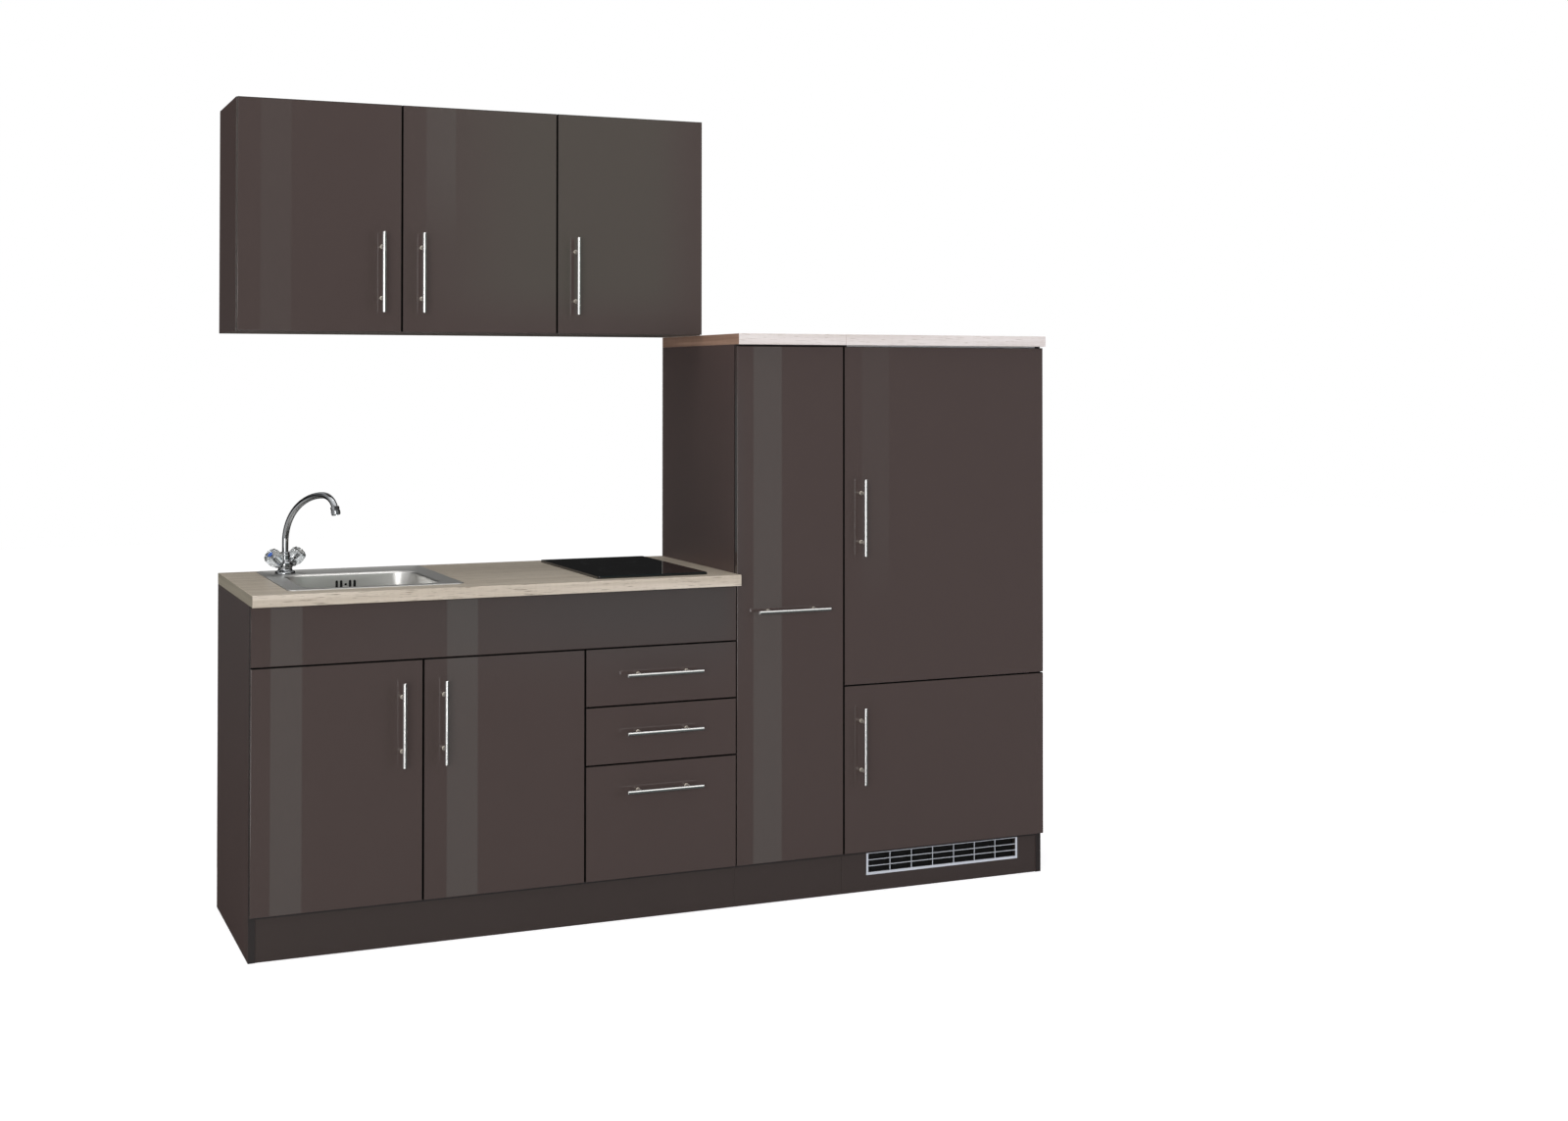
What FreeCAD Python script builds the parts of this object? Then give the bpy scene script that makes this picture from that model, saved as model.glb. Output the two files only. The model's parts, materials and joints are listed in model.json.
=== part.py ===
import FreeCAD, Part
import math
import os

# A fitted kitchen in one run: sink unit, drawer unit, pantry pull-out and fridge housing
# on the floor, with a double and a single wall unit above the first two.
# Working frame, in millimetres: X runs right from the left end of the run, Y runs back
# from the front edges of the floor units, and Z runs up from the floor. Every piece is
# moved at the end so that the origin is on the floor, at the middle of the whole.

# The run of units, from left to right
sink_unit_width = 800.0
drawer_unit_width = 400.0
pantry_width = 300.0
fridge_unit_width = 600.0
unit_depth = 550.0
wall_unit_depth = 300.0
wall_unit_height = 570.0
worktop_height = 850.0
tall_height = 1462.0
plinth_height = 100.0

# Boards
board = 16.0
back_board = 3.0
worktop_thickness = 28.0
worktop_overhang = 50.0
top_board_overhang = 32.0
plinth_setback = 2.0
apron_height = 150.0
rear_rail_height = 80.0
housing_strip_height = 100.0
shelf_play = 0.5
shelf_setback = 20.0

# Fronts
front_thickness = 16.0
front_gap = 2.0
reveal = 3.0
front_lift = 8.0
fascia_zone = 142.0
fascia_drop = 3.0
packer_size = 40.0
packer_edge = 30.0
drawer_pitch = 144.0
freezer_zone = 438.0
tall_front_drop = 4.0

# Bar handles
handle_length = 200.0
handle_radius = 5.0
handle_hole_spacing = 128.0
handle_projection = 35.0
handle_post_radius = 4.0
handle_inset = 50.0
wall_handle_rise = 149.0
base_handle_drop = 151.5
drawer_handle_drop = 66.0
pantry_handle_height = 751.0
fridge_handle_rise = 437.0
freezer_handle_drop = 158.0

# Concealed hinges
cup_radius = 17.5
cup_depth = 11.5
cup_wall = 1.5
cup_edge_distance = 22.5
cup_clearance = 0.1
hinge_end_inset = 90.0
flange_thickness = 1.2
flange_width = 24.0
flange_height = 60.0
link_width = 12.0
link_height = 12.0
arm_length = 58.0
arm_gap = 0.3
plate_thickness = 2.0
plate_start = 18.0
plate_height = 46.0

# Drawers and their roller runners
drawer_box_depth = 450.0
drawer_side = 12.0
drawer_base = 8.0
drawer_box_lift = 20.0
low_box_height = 86.0
high_box_height = 199.0
runner_space = 13.0
runner_steel = 1.5
runner_web = 28.0
runner_flange = 11.0
runner_length = 490.0
runner_setback = 4.0
slide_bar_width = 8.0
slide_bar_height = 9.0
running_gap = 0.3

# Pantry pull-out
pull_out_depth = 480.0
frame_post_width = 30.0
frame_post_depth = 20.0
frame_bar_height = 18.0
pull_rail_width = 46.0
pull_rail_height = 14.0
tray_count = 4
tray_thickness = 6.0
tray_side_space = 10.0
tray_first_rise = 14.0
tray_spacing = 305.0
gallery_height = 62.0
gallery_post_radius = 3.5
gallery_rail_radius = 3.0
gallery_posts_per_side = 3

# Sink
sink_x = 91.0
sink_width = 420.0
sink_front_margin = 74.0
sink_depth = 512.0
rim_thickness = 2.0
rim_corner = 20.0
bowl_side_border = 46.0
bowl_front_border = 34.0
bowl_length = 346.0
bowl_depth = 150.0
bowl_corner = 55.0
bowl_floor_radius = 22.0
sheet = 1.0
rim_lip = 15.0
tap_hole_radius = 17.5
overflow_drop = 28.0
overflow_slot_width = 5.0
overflow_slot_height = 18.0
overflow_pitch = 10.0

# Basket waste
waste_hole_radius = 38.0
waste_flange_radius = 44.0
waste_flange_thickness = 1.5
waste_body_radius = 36.0
waste_body_depth = 50.0
waste_wall = 2.0
outlet_radius = 20.0
outlet_length = 60.0
strainer_radius = 31.0
strainer_depth = 28.0
strainer_rim_radius = 40.0
strainer_rim_thickness = 1.5
strainer_wall = 1.0
strainer_knob_radius = 7.0
strainer_knob_height = 14.0
strainer_hole_radius = 2.0
strainer_hole_ring_radius = 18.0
strainer_hole_count = 12

# Two-handle tap
tap_from_sink_left = 61.0
tap_from_sink_back = 84.0
tap_base_radius = 25.0
tap_base_height = 6.0
tap_barrel_radius = 19.0
tap_barrel_height = 31.0
tap_neck_radius = 12.5
tap_neck_height = 48.0
tap_shank_radius = 16.0
tap_shank_length = 40.0
tap_nut_radius = 26.0
tap_nut_height = 8.0
tail_radius = 5.0
tail_length = 300.0
tail_spread = 9.0
arm_cross_height = 12.0
knob_angle = 38.0
knob_arm_radius = 11.0
knob_arm_end = 28.0
spindle_radius = 4.0
spindle_end = 50.0
spindle_clearance = 0.1
knob_start = 28.3
knob_collar_length = 8.0
knob_collar_radius = 14.0
knob_radius = 21.0
knob_end = 64.0
spout_radius = 8.0
spout_wall = 1.5
spout_riser_top = 78.0
spout_plug_depth = 14.0
spout_plug_clearance = 0.1
spout_first_radius = 118.0
spout_first_angle = 52.0
spout_second_radius = 145.0
spout_second_angle = 38.0
spout_third_radius = 42.0
spout_third_angle = 75.0
aerator_radius = 11.0
aerator_length = 21.0
aerator_lap = 4.0

# Hob
hob_from_unit_left = 36.0
hob_width = 290.0
hob_depth = 510.0
hob_front_margin = 45.0
hob_glass_thickness = 5.0
hob_corner = 6.0
hob_lip = 22.0
hob_cut_clearance = 2.0
hob_tray_depth = 46.0
hob_tray_wall = 1.0
hob_seal = 1.0
large_zone_radius = 90.0
small_zone_radius = 72.5
zone_pan_depth = 24.0
large_zone_share = 0.29
small_zone_share = 0.72

# Plinth ventilation grille
grille_width = 454.0
grille_rise = 43.0
grille_frame = 6.0
grille_foot = 7.0
grille_bar = 3.0
grille_depth = 14.0
grille_proud = 2.5
grille_rows = 3
grille_columns = 7
grille_fit = 0.3

# Built-in fridge-freezer
appliance_side_space = 14.0
appliance_height = 1290.0
appliance_depth = 490.0
appliance_wall = 35.0
inner_door_thickness = 45.0
inner_door_side_gap = 2.0
inner_door_end_gap = 4.0
gasket_thickness = 6.7
gasket_width = 14.0
gasket_inset = 8.0
divider_half = 22.0
machine_depth = 175.0
machine_height = 190.0
rack_depth = 85.0
rack_height = 60.0
rack_wall = 3.0
rack_lip = 12.0
rack_rail = 10.0
rack_side_space = 70.0
rack_shares = (0.14, 0.58)
glass_shelf = 5.0
glass_shelf_play = 0.5
glass_shelf_shares = (0.46, 0.73)
glass_shelf_setback = 95.0
drawer_wall = 2.5
drawer_side_play = 0.5
crisper_height = 150.0
freezer_drawer_share = 0.95
freezer_drawer_gap = 12.0
grip_width = 220.0
grip_height = 40.0
hinge_block_height = 24.0
compressor_radius = 62.0
compressor_height = 120.0
compressor_dome = 30.0
compressor_foot_height = 20.0
compressor_foot_radius = 70.0

# Feet and fittings
foot_inset = 60.0
foot_plate_radius = 28.0
foot_plate_thickness = 4.0
foot_stem_radius = 15.0
foot_pad_radius = 25.0
foot_pad_height = 10.0
hanger_inset = 50.0
hanger_drop = 55.0
hanger_size = 56.0
hanger_thickness = 4.0
hanger_hole_radius = 4.0
pin_radius = 2.5
pin_length = 12.0
pin_inset = 37.0
overrun = 1.0

# Places that follow from the sizes above
x_sink = 0.0
x_drawers = x_sink + sink_unit_width
x_pantry = x_drawers + drawer_unit_width
x_fridge = x_pantry + pantry_width
x_end = x_fridge + fridge_unit_width
y_carcass_back = unit_depth - back_board
y_wall = unit_depth - wall_unit_depth
z_base_top = worktop_height - worktop_thickness
z_tall_top = tall_height - worktop_thickness
z_wall_top = tall_height + wall_unit_height
z_bottom_board = plinth_height + board
z_front_bottom = plinth_height + front_lift
z_fascia = z_base_top - fascia_zone
z_fridge_line = z_front_bottom + freezer_zone
z_tall_front_top = z_tall_top - tall_front_drop
front_reach = front_gap + front_thickness
handle_reach = front_reach + handle_projection
x_middle = x_end / 2
y_middle = (unit_depth - max(handle_reach, worktop_overhang)) / 2


def point(x, y, z):
    """A point or direction."""
    return FreeCAD.Vector(x, y, z)


RIGHT = point(1, 0, 0)
BACK = point(0, 1, 0)
UP = point(0, 0, 1)


def block(x0, x1, y0, y1, z0, z1):
    """A box between two corners."""
    return Part.makeBox(x1 - x0, y1 - y0, z1 - z0, point(x0, y0, z0))


def rod(radius, length, start, along):
    """A cylinder from a point along a direction."""
    return Part.makeCylinder(radius, length, start, along)


def rounded_block(x0, x1, y0, y1, z0, z1, corner):
    """A box with its upright edges rounded."""
    solid = block(x0, x1, y0, y1, z0, z1)
    upright = [e for e in solid.Edges if abs(e.tangentAt(e.FirstParameter).z) > 1 / 2]
    return solid.makeFillet(corner, upright)


def fuse(pieces):
    """One solid from pieces that touch or overlap."""
    return pieces[0].multiFuse(pieces[1:]).removeSplitter()


def cut(solid, tools):
    """A solid with several others taken out of it."""
    for tool in tools:
        solid = solid.cut(tool)
    return solid


def turned(profile, centre, axis):
    """A full turn of a closed outline about an axis."""
    face = Part.Face(Part.makePolygon(profile + profile[:1]))
    full_turn = 360
    return face.revolve(centre, axis, full_turn)


def save(node, pieces):
    """Write one sub-part, moved to the part's own frame."""
    solids = [s for piece in pieces for s in piece.Solids]
    whole = Part.makeCompound(solids)
    whole.translate(point(-x_middle, -y_middle, 0))
    whole.exportStep(f"parts/{node}.step")
    valid = all(s.isValid() for s in solids)
    print(f"{node}: {len(solids)} solids, valid {valid}")


# Fronts, handles and concealed hinges


def front_panel(x0, x1, z0, z1, y_carcass):
    """A front that covers a carcass opening, with half a reveal at each side."""
    half = reveal / 2
    y_back = y_carcass - front_gap
    return block(x0 + half, x1 - half, y_back - front_thickness, y_back, z0, z1)


def bar_handle(x, z, y_carcass, along):
    """A round bar on two posts, its middle at x and z."""
    y_face = y_carcass - front_reach
    y_bar = y_face - handle_projection + handle_radius
    middle = point(x, y_bar, z)
    bar = rod(handle_radius, handle_length, middle - along * (handle_length / 2), along)
    posts = []
    for side in (-1, 1):
        foot = point(x, y_face, z) + along * (side * handle_hole_spacing / 2)
        reach = handle_projection - handle_radius
        posts.append(rod(handle_post_radius, reach, foot, -BACK).cut(bar))
    return [bar] + posts


def cup_centre_x(x0, x1, hinge):
    """The X of the hinge cups of a door whose opening runs from x0 to x1."""
    from_edge = reveal / 2 + cup_edge_distance
    return x0 + from_edge if hinge == "left" else x1 - from_edge


def cup_heights(z0, z1):
    """The heights of the two hinges of a door."""
    return (z0 + hinge_end_inset, z1 - hinge_end_inset)


def hinge_cup(x, z, y_carcass):
    """A cup with its flange and its link, set in the back of a door."""
    y_back = y_carcass - front_gap
    centre = point(x, y_back, z)
    shell = rod(cup_radius, cup_depth, centre, -BACK)
    shell = shell.cut(rod(cup_radius - cup_wall, cup_depth - cup_wall, centre, -BACK))
    flange = block(
        x - flange_width / 2, x + flange_width / 2,
        y_back, y_back + flange_thickness,
        z - flange_height / 2, z + flange_height / 2,
    )
    flange = flange.cut(rod(cup_radius - cup_wall, flange_thickness, centre, BACK))
    link = block(
        x - link_width / 2, x + link_width / 2,
        y_back - cup_depth + cup_wall / 2, y_back + flange_thickness,
        z - link_height / 2, z + link_height / 2,
    )
    return fuse([shell, flange, link])


def hinge_arm(x, z, y_carcass, hinge, x_side):
    """The arm and its mounting plate on the side board whose inner face is at x_side."""
    y_tip = y_carcass - front_gap + flange_thickness + arm_gap
    far = x + link_width / 2 if hinge == "left" else x - link_width / 2
    near = x_side + plate_thickness if hinge == "left" else x_side - plate_thickness
    half = link_height / 2
    arm = block(min(near, far), max(near, far), y_tip, y_tip + arm_length, z - half, z + half)
    half = plate_height / 2
    y0 = y_carcass + plate_start
    y1 = y_tip + arm_length
    plate = block(min(x_side, near), max(x_side, near), y0, y1, z - half, z + half)
    return fuse([arm, plate])


def door_front(x0, x1, z0, z1, y_carcass, hinge):
    """A door with the blind bores for its two hinge cups."""
    half = reveal / 2
    panel = front_panel(x0, x1, z0 + half, z1 - half, y_carcass)
    x = cup_centre_x(x0, x1, hinge)
    bores = [
        rod(cup_radius + cup_clearance, cup_depth + cup_clearance, point(x, y_carcass - front_gap, z), -BACK)
        for z in cup_heights(z0, z1)
    ]
    return cut(panel, bores)


half_sink_unit = sink_unit_width / 2
z_wall_handle = tall_height + wall_handle_rise
z_base_handle = z_fascia - base_handle_drop
z_base_door = z_front_bottom - reveal / 2

# name, left and right of the opening, bottom and top, carcass front, hinge side, handle height
doors = (
    ("wall_left", x_sink, half_sink_unit, tall_height, z_wall_top, y_wall, "left", z_wall_handle),
    ("wall_middle", half_sink_unit, x_drawers, tall_height, z_wall_top, y_wall, "right", z_wall_handle),
    ("wall_right", x_drawers, x_pantry, tall_height, z_wall_top, y_wall, "right", z_wall_handle),
    ("base_left", x_sink, half_sink_unit, z_base_door, z_fascia, 0.0, "left", z_base_handle),
    ("base_right", half_sink_unit, x_drawers, z_base_door, z_fascia, 0.0, "right", z_base_handle),
)


def make_doors():
    """The five hinged doors, and the hinge arms that stay on the carcasses."""
    arms = []
    for name, x0, x1, z0, z1, y, hinge, z_handle in doors:
        save(f"{name}_front", [door_front(x0, x1, z0, z1, y, hinge)])
        x_handle = x1 - handle_inset if hinge == "left" else x0 + handle_inset
        save(f"{name}_handle", bar_handle(x_handle, z_handle, y, UP))
        x = cup_centre_x(x0, x1, hinge)
        x_side = x0 + board if hinge == "left" else x1 - board
        save(f"{name}_hinges", [hinge_cup(x, z, y) for z in cup_heights(z0, z1)])
        arms += [hinge_arm(x, z, y, hinge, x_side) for z in cup_heights(z0, z1)]
    return arms


# Carcasses


def carcass(x0, x1, y0, z0, z1, left_foot, right_foot, top):
    """Two sides, a bottom and, if asked, a top. The sides reach down to their own foot heights."""
    boards = [
        block(x0, x0 + board, y0, y_carcass_back, left_foot, z1),
        block(x1 - board, x1, y0, y_carcass_back, right_foot, z1),
        block(x0 + board, x1 - board, y0, y_carcass_back, z0, z0 + board),
    ]
    if top:
        boards.append(block(x0 + board, x1 - board, y0, y_carcass_back, z1 - board, z1))
    return boards


def base_rails(x0, x1):
    """The apron board behind the fascia and the rail at the back of a floor unit."""
    inner = (x0 + board, x1 - board)
    apron = block(*inner, 0.0, board, z_base_top - apron_height, z_base_top)
    rear = block(*inner, y_carcass_back - board, y_carcass_back, z_base_top - rear_rail_height, z_base_top)
    return [apron, rear]


def back(x0, x1, z0, z1):
    """A thin back board that covers the back edges of a unit."""
    return block(x0, x1, y_carcass_back, unit_depth, z0, z1)


def hanger_places():
    """The X places of the wall units' hanger holes, with the side each hanger sits at."""
    inset = board + hanger_inset
    return (x_sink + inset, x_drawers - inset, x_drawers + inset, x_pantry - inset)


z_hanger = z_wall_top - board - hanger_drop


def make_carcasses():
    """All fixed boards of the five units."""
    outer_left = 0.0
    base = carcass(x_sink, x_drawers, 0.0, plinth_height, z_base_top, outer_left, plinth_height, False)
    base += base_rails(x_sink, x_drawers)
    base += carcass(x_drawers, x_pantry, 0.0, plinth_height, z_base_top, plinth_height, plinth_height, False)
    base += base_rails(x_drawers, x_pantry)
    save("base_carcasses", base)
    tall = carcass(x_pantry, x_fridge, 0.0, plinth_height, z_tall_top, plinth_height, plinth_height, True)
    tall += carcass(x_fridge, x_end, 0.0, plinth_height, z_tall_top, plinth_height, 0.0, True)
    save("tall_carcasses", tall)
    wall = carcass(x_sink, x_drawers, y_wall, tall_height, z_wall_top, tall_height, tall_height, True)
    wall += carcass(x_drawers, x_pantry, y_wall, tall_height, z_wall_top, tall_height, tall_height, True)
    save("wall_carcasses", wall)
    wall_backs = [
        back(x_sink, x_drawers, tall_height, z_wall_top),
        back(x_drawers, x_pantry, tall_height, z_wall_top),
    ]
    holes = [
        rod(hanger_hole_radius, back_board, point(x, y_carcass_back, z_hanger), BACK)
        for x in hanger_places()
    ]
    backs = [cut(wall_back, holes) for wall_back in wall_backs]
    backs += [
        back(x_sink, x_drawers, plinth_height, z_base_top),
        back(x_drawers, x_pantry, plinth_height, z_base_top),
        back(x_pantry, x_fridge, plinth_height, z_tall_top),
        back(x_fridge, x_end, z_tall_top - housing_strip_height, z_tall_top),
        back(x_fridge, x_end, plinth_height, plinth_height + housing_strip_height),
    ]
    save("back_panels", backs)


def shelf_spans():
    """The inner X spans of the two wall units."""
    return (
        (x_sink + board, x_drawers - board),
        (x_drawers + board, x_pantry - board),
    )


z_shelf = tall_height + wall_unit_height / 2


def make_shelves_and_fittings():
    """Wall unit shelves, their pins and the hanger plates."""
    shelves = []
    fittings = []
    y0 = y_wall + shelf_setback
    for x0, x1 in shelf_spans():
        shelves.append(
            block(x0 + shelf_play, x1 - shelf_play, y0, y_carcass_back, z_shelf, z_shelf + board)
        )
        for y in (y0 + pin_inset, y_carcass_back - pin_inset):
            z = z_shelf - pin_radius
            fittings.append(rod(pin_radius, pin_length, point(x0, y, z), RIGHT))
            fittings.append(rod(pin_radius, pin_length, point(x1, y, z), -RIGHT))
    save("cabinet_shelves", shelves)
    half = hanger_size / 2
    for x in hanger_places():
        plate = block(
            x - half, x + half,
            y_carcass_back - hanger_thickness, y_carcass_back,
            z_hanger - half, z_hanger + half,
        )
        hole = rod(hanger_hole_radius, hanger_thickness, point(x, y_carcass_back, z_hanger), -BACK)
        fittings.append(plate.cut(hole))
    save("cabinet_fittings", fittings)


def levelling_foot(x, y):
    """A plastic foot with a plate under the unit's bottom and a pad on the floor."""
    plate_z = plinth_height - foot_plate_thickness
    return fuse([
        rod(foot_plate_radius, foot_plate_thickness, point(x, y, plate_z), UP),
        rod(foot_stem_radius, plate_z - foot_pad_height, point(x, y, foot_pad_height), UP),
        rod(foot_pad_radius, foot_pad_height, point(x, y, 0), UP),
    ])


def make_feet():
    """Four feet under each floor unit."""
    feet = []
    for x0, x1 in ((x_sink, x_drawers), (x_drawers, x_pantry), (x_pantry, x_fridge), (x_fridge, x_end)):
        for x in (x0 + foot_inset, x1 - foot_inset):
            feet += [levelling_foot(x, y) for y in (foot_inset, unit_depth - foot_inset)]
    save("levelling_feet", feet)


# Worktop, sink and hob

y_worktop_front = -worktop_overhang
sink_x1 = sink_x + sink_width
sink_y0 = y_worktop_front + sink_front_margin
sink_y1 = sink_y0 + sink_depth
z_rim = worktop_height + rim_thickness
bowl_x0 = sink_x + bowl_side_border
bowl_x1 = sink_x1 - bowl_side_border
bowl_y0 = sink_y0 + bowl_front_border
bowl_y1 = bowl_y0 + bowl_length
z_bowl = worktop_height - bowl_depth
drain_x = (bowl_x0 + bowl_x1) / 2
drain_y = (bowl_y0 + bowl_y1) / 2
hob_x0 = x_drawers + hob_from_unit_left
hob_x1 = hob_x0 + hob_width
hob_y0 = y_worktop_front + hob_front_margin
hob_y1 = hob_y0 + hob_depth
tap_x = sink_x + tap_from_sink_left
tap_y = sink_y1 - tap_from_sink_back


def make_worktop():
    """The worktop with its two cut-outs, and the boards on top of the tall units."""
    top = block(x_sink, x_pantry, y_worktop_front, unit_depth, z_base_top, worktop_height)
    sink_hole = rounded_block(
        sink_x + rim_lip, sink_x1 - rim_lip, sink_y0 + rim_lip, sink_y1 - rim_lip,
        z_base_top - overrun, worktop_height + overrun, rim_corner,
    )
    hob_hole = block(
        hob_x0 + hob_lip, hob_x1 - hob_lip, hob_y0 + hob_lip, hob_y1 - hob_lip,
        z_base_top - overrun, worktop_height + overrun,
    )
    save("worktop", [cut(top, [sink_hole, hob_hole])])
    boards = [
        block(x0, x1, -top_board_overhang, unit_depth, z_tall_top, tall_height)
        for x0, x1 in ((x_pantry, x_fridge), (x_fridge, x_end))
    ]
    save("tall_top_boards", boards)


def bowl_block(inset, depth, top):
    """The bowl's space, drawn in from its outer skin, with a rounded floor."""
    x0 = bowl_x0 + inset
    x1 = bowl_x1 - inset
    y0 = bowl_y0 + inset
    y1 = bowl_y1 - inset
    z0 = worktop_height - depth
    solid = rounded_block(x0, x1, y0, y1, z0, top, bowl_corner - inset)
    floor_edges = [e for e in solid.Edges if e.BoundBox.ZMax < z0 + overrun]
    return solid.makeFillet(bowl_floor_radius - inset, floor_edges)


def overflow_holes():
    """Four slots and a round hole in the bowl's back wall."""
    z0 = worktop_height - overflow_drop - overflow_slot_height / 2
    y0 = bowl_y1 - sheet - overrun
    y1 = bowl_y1 + overrun
    holes = []
    for step in (-2, -1, 1, 2):
        x = drain_x + step * overflow_pitch
        half = overflow_slot_width / 2
        holes.append(block(x - half, x + half, y0, y1, z0, z0 + overflow_slot_height))
    middle = point(drain_x, y0, worktop_height - overflow_drop)
    holes.append(rod(overflow_slot_width / 2, y1 - y0, middle, BACK))
    return holes


def make_sink():
    """The pressed sink: rim, tap ledge and bowl in one sheet."""
    rim = rounded_block(sink_x, sink_x1, sink_y0, sink_y1, worktop_height, z_rim, rim_corner)
    skin = bowl_block(0.0, bowl_depth, z_rim)
    space = bowl_block(sheet, bowl_depth - sheet, z_rim + overrun)
    sink = rim.fuse(skin).removeSplitter().cut(space)
    waste = rod(waste_hole_radius, sheet + 2 * overrun, point(drain_x, drain_y, z_bowl - overrun), UP)
    tap_hole = rod(
        tap_hole_radius, rim_thickness + 2 * overrun, point(tap_x, tap_y, worktop_height - overrun), UP
    )
    save("sink_bowl", [cut(sink, [waste, tap_hole] + overflow_holes())])


z_waste = z_bowl + sheet
z_waste_body = z_waste - waste_body_depth


def make_drain():
    """The basket waste under the bowl, with its outlet stub."""
    centre = point(drain_x, drain_y, 0)
    outline = (
        (waste_body_radius - waste_wall, z_waste + waste_flange_thickness),
        (waste_flange_radius, z_waste + waste_flange_thickness),
        (waste_flange_radius, z_waste),
        (waste_body_radius, z_waste),
        (waste_body_radius, z_waste_body),
        (outlet_radius, z_waste_body),
        (outlet_radius, z_waste_body - outlet_length),
        (outlet_radius - waste_wall, z_waste_body - outlet_length),
        (outlet_radius - waste_wall, z_waste_body + waste_wall),
        (waste_body_radius - waste_wall, z_waste_body + waste_wall),
    )
    profile = [centre + point(r, 0, z) for r, z in outline]
    save("sink_drain", [turned(profile, centre, UP)])


def make_strainer():
    """The lift-out strainer basket with its small knob."""
    z_seat = z_waste + waste_flange_thickness + running_gap
    z_floor = z_seat - strainer_depth
    centre = point(drain_x, drain_y, 0)
    outline = (
        (0, z_floor),
        (strainer_radius, z_floor),
        (strainer_radius, z_seat),
        (strainer_rim_radius, z_seat),
        (strainer_rim_radius, z_seat + strainer_rim_thickness),
        (strainer_radius - strainer_wall, z_seat + strainer_rim_thickness),
        (strainer_radius - strainer_wall, z_floor + strainer_wall),
        (0, z_floor + strainer_wall),
    )
    basket = turned([centre + point(r, 0, z) for r, z in outline], centre, UP)
    holes = []
    for step in range(strainer_hole_count):
        angle = 2 * math.pi * step / strainer_hole_count
        x = drain_x + strainer_hole_ring_radius * math.cos(angle)
        y = drain_y + strainer_hole_ring_radius * math.sin(angle)
        foot = point(x, y, z_floor - overrun / 2)
        holes.append(rod(strainer_hole_radius, strainer_wall + overrun, foot, UP))
    knob_z = z_floor + strainer_wall / 2
    knob = rod(strainer_knob_radius, strainer_knob_height, point(drain_x, drain_y, knob_z), UP)
    save("sink_strainer", [cut(basket, holes).fuse(knob).removeSplitter()])


def make_hob():
    """The glass plate, and under it the steel tray with two heater pans."""
    z_glass = worktop_height + hob_seal
    glass = rounded_block(
        hob_x0, hob_x1, hob_y0, hob_y1, z_glass, z_glass + hob_glass_thickness, hob_corner
    )
    seal = rounded_block(hob_x0, hob_x1, hob_y0, hob_y1, worktop_height, z_glass, hob_corner)
    inset = hob_lip + hob_cut_clearance
    seal = seal.cut(block(
        hob_x0 + inset, hob_x1 - inset, hob_y0 + inset, hob_y1 - inset,
        worktop_height - overrun, z_glass + overrun,
    ))
    save("hob_glass", [glass, seal])
    z_tray = z_glass - hob_tray_depth
    tray = block(hob_x0 + inset, hob_x1 - inset, hob_y0 + inset, hob_y1 - inset, z_tray, z_glass)
    wall = inset + hob_tray_wall
    space = block(
        hob_x0 + wall, hob_x1 - wall, hob_y0 + wall, hob_y1 - wall,
        z_tray + hob_tray_wall, z_glass + overrun,
    )
    x = (hob_x0 + hob_x1) / 2
    pans = []
    for radius, share in ((large_zone_radius, large_zone_share), (small_zone_radius, small_zone_share)):
        y = hob_y0 + hob_depth * share
        pans.append(rod(radius, zone_pan_depth, point(x, y, z_glass - zone_pan_depth), UP))
    save("hob_housing", [tray.cut(space)] + pans)


# Tap

bowl_middle = point(drain_x, drain_y, 0)
tap_foot = point(tap_x, tap_y, z_rim)
spout_angle = math.degrees(math.atan2(drain_y - tap_y, drain_x - tap_x))
elevation = math.radians(knob_angle)


def placed_tap(solid):
    """A tap piece, drawn with its spout along X, turned to the bowl and set on the ledge."""
    solid = solid.copy()
    solid.rotate(point(0, 0, 0), UP, spout_angle)
    solid.translate(tap_foot)
    return solid


def knob_axis(side):
    """The direction of one knob's spindle, in the tap's own frame."""
    return point(0, side * math.cos(elevation), math.sin(elevation))


def along_knob(side, distance):
    """A point on one knob's spindle."""
    return point(0, 0, arm_cross_height) + knob_axis(side) * distance


def make_tap_body():
    """The base, the two inclined valve arms, their spindles and the shank below."""
    neck = rod(tap_neck_radius, tap_neck_height, point(0, 0, 0), UP)
    body = [
        rod(tap_base_radius, tap_base_height, point(0, 0, 0), UP),
        rod(tap_barrel_radius, tap_barrel_height, point(0, 0, 0), UP),
        neck,
    ]
    for side in (-1, 1):
        start = along_knob(side, 0)
        body.append(rod(knob_arm_radius, knob_arm_end, start, knob_axis(side)))
        body.append(rod(spindle_radius, spindle_end, start, knob_axis(side)))
    socket_radius = spout_radius + spout_plug_clearance
    socket = rod(socket_radius, spout_plug_depth, point(0, 0, tap_neck_height - spout_plug_depth), UP)
    shank_z = -rim_thickness - tap_shank_length
    body.append(rod(tap_shank_radius, tap_shank_length + rim_thickness, point(0, 0, shank_z), UP))
    pieces = [fuse(body).cut(socket)]
    nut_foot = point(0, 0, -rim_thickness - tap_nut_height)
    nut = rod(tap_nut_radius, tap_nut_height, nut_foot, UP)
    pieces.append(nut.cut(rod(tap_shank_radius, tap_nut_height, nut_foot, UP)))
    for side in (-1, 1):
        start = point(0, side * tail_spread, shank_z)
        pieces.append(rod(tail_radius, tail_length, start, -UP))
    save("tap_body", [placed_tap(piece) for piece in pieces])


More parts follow.
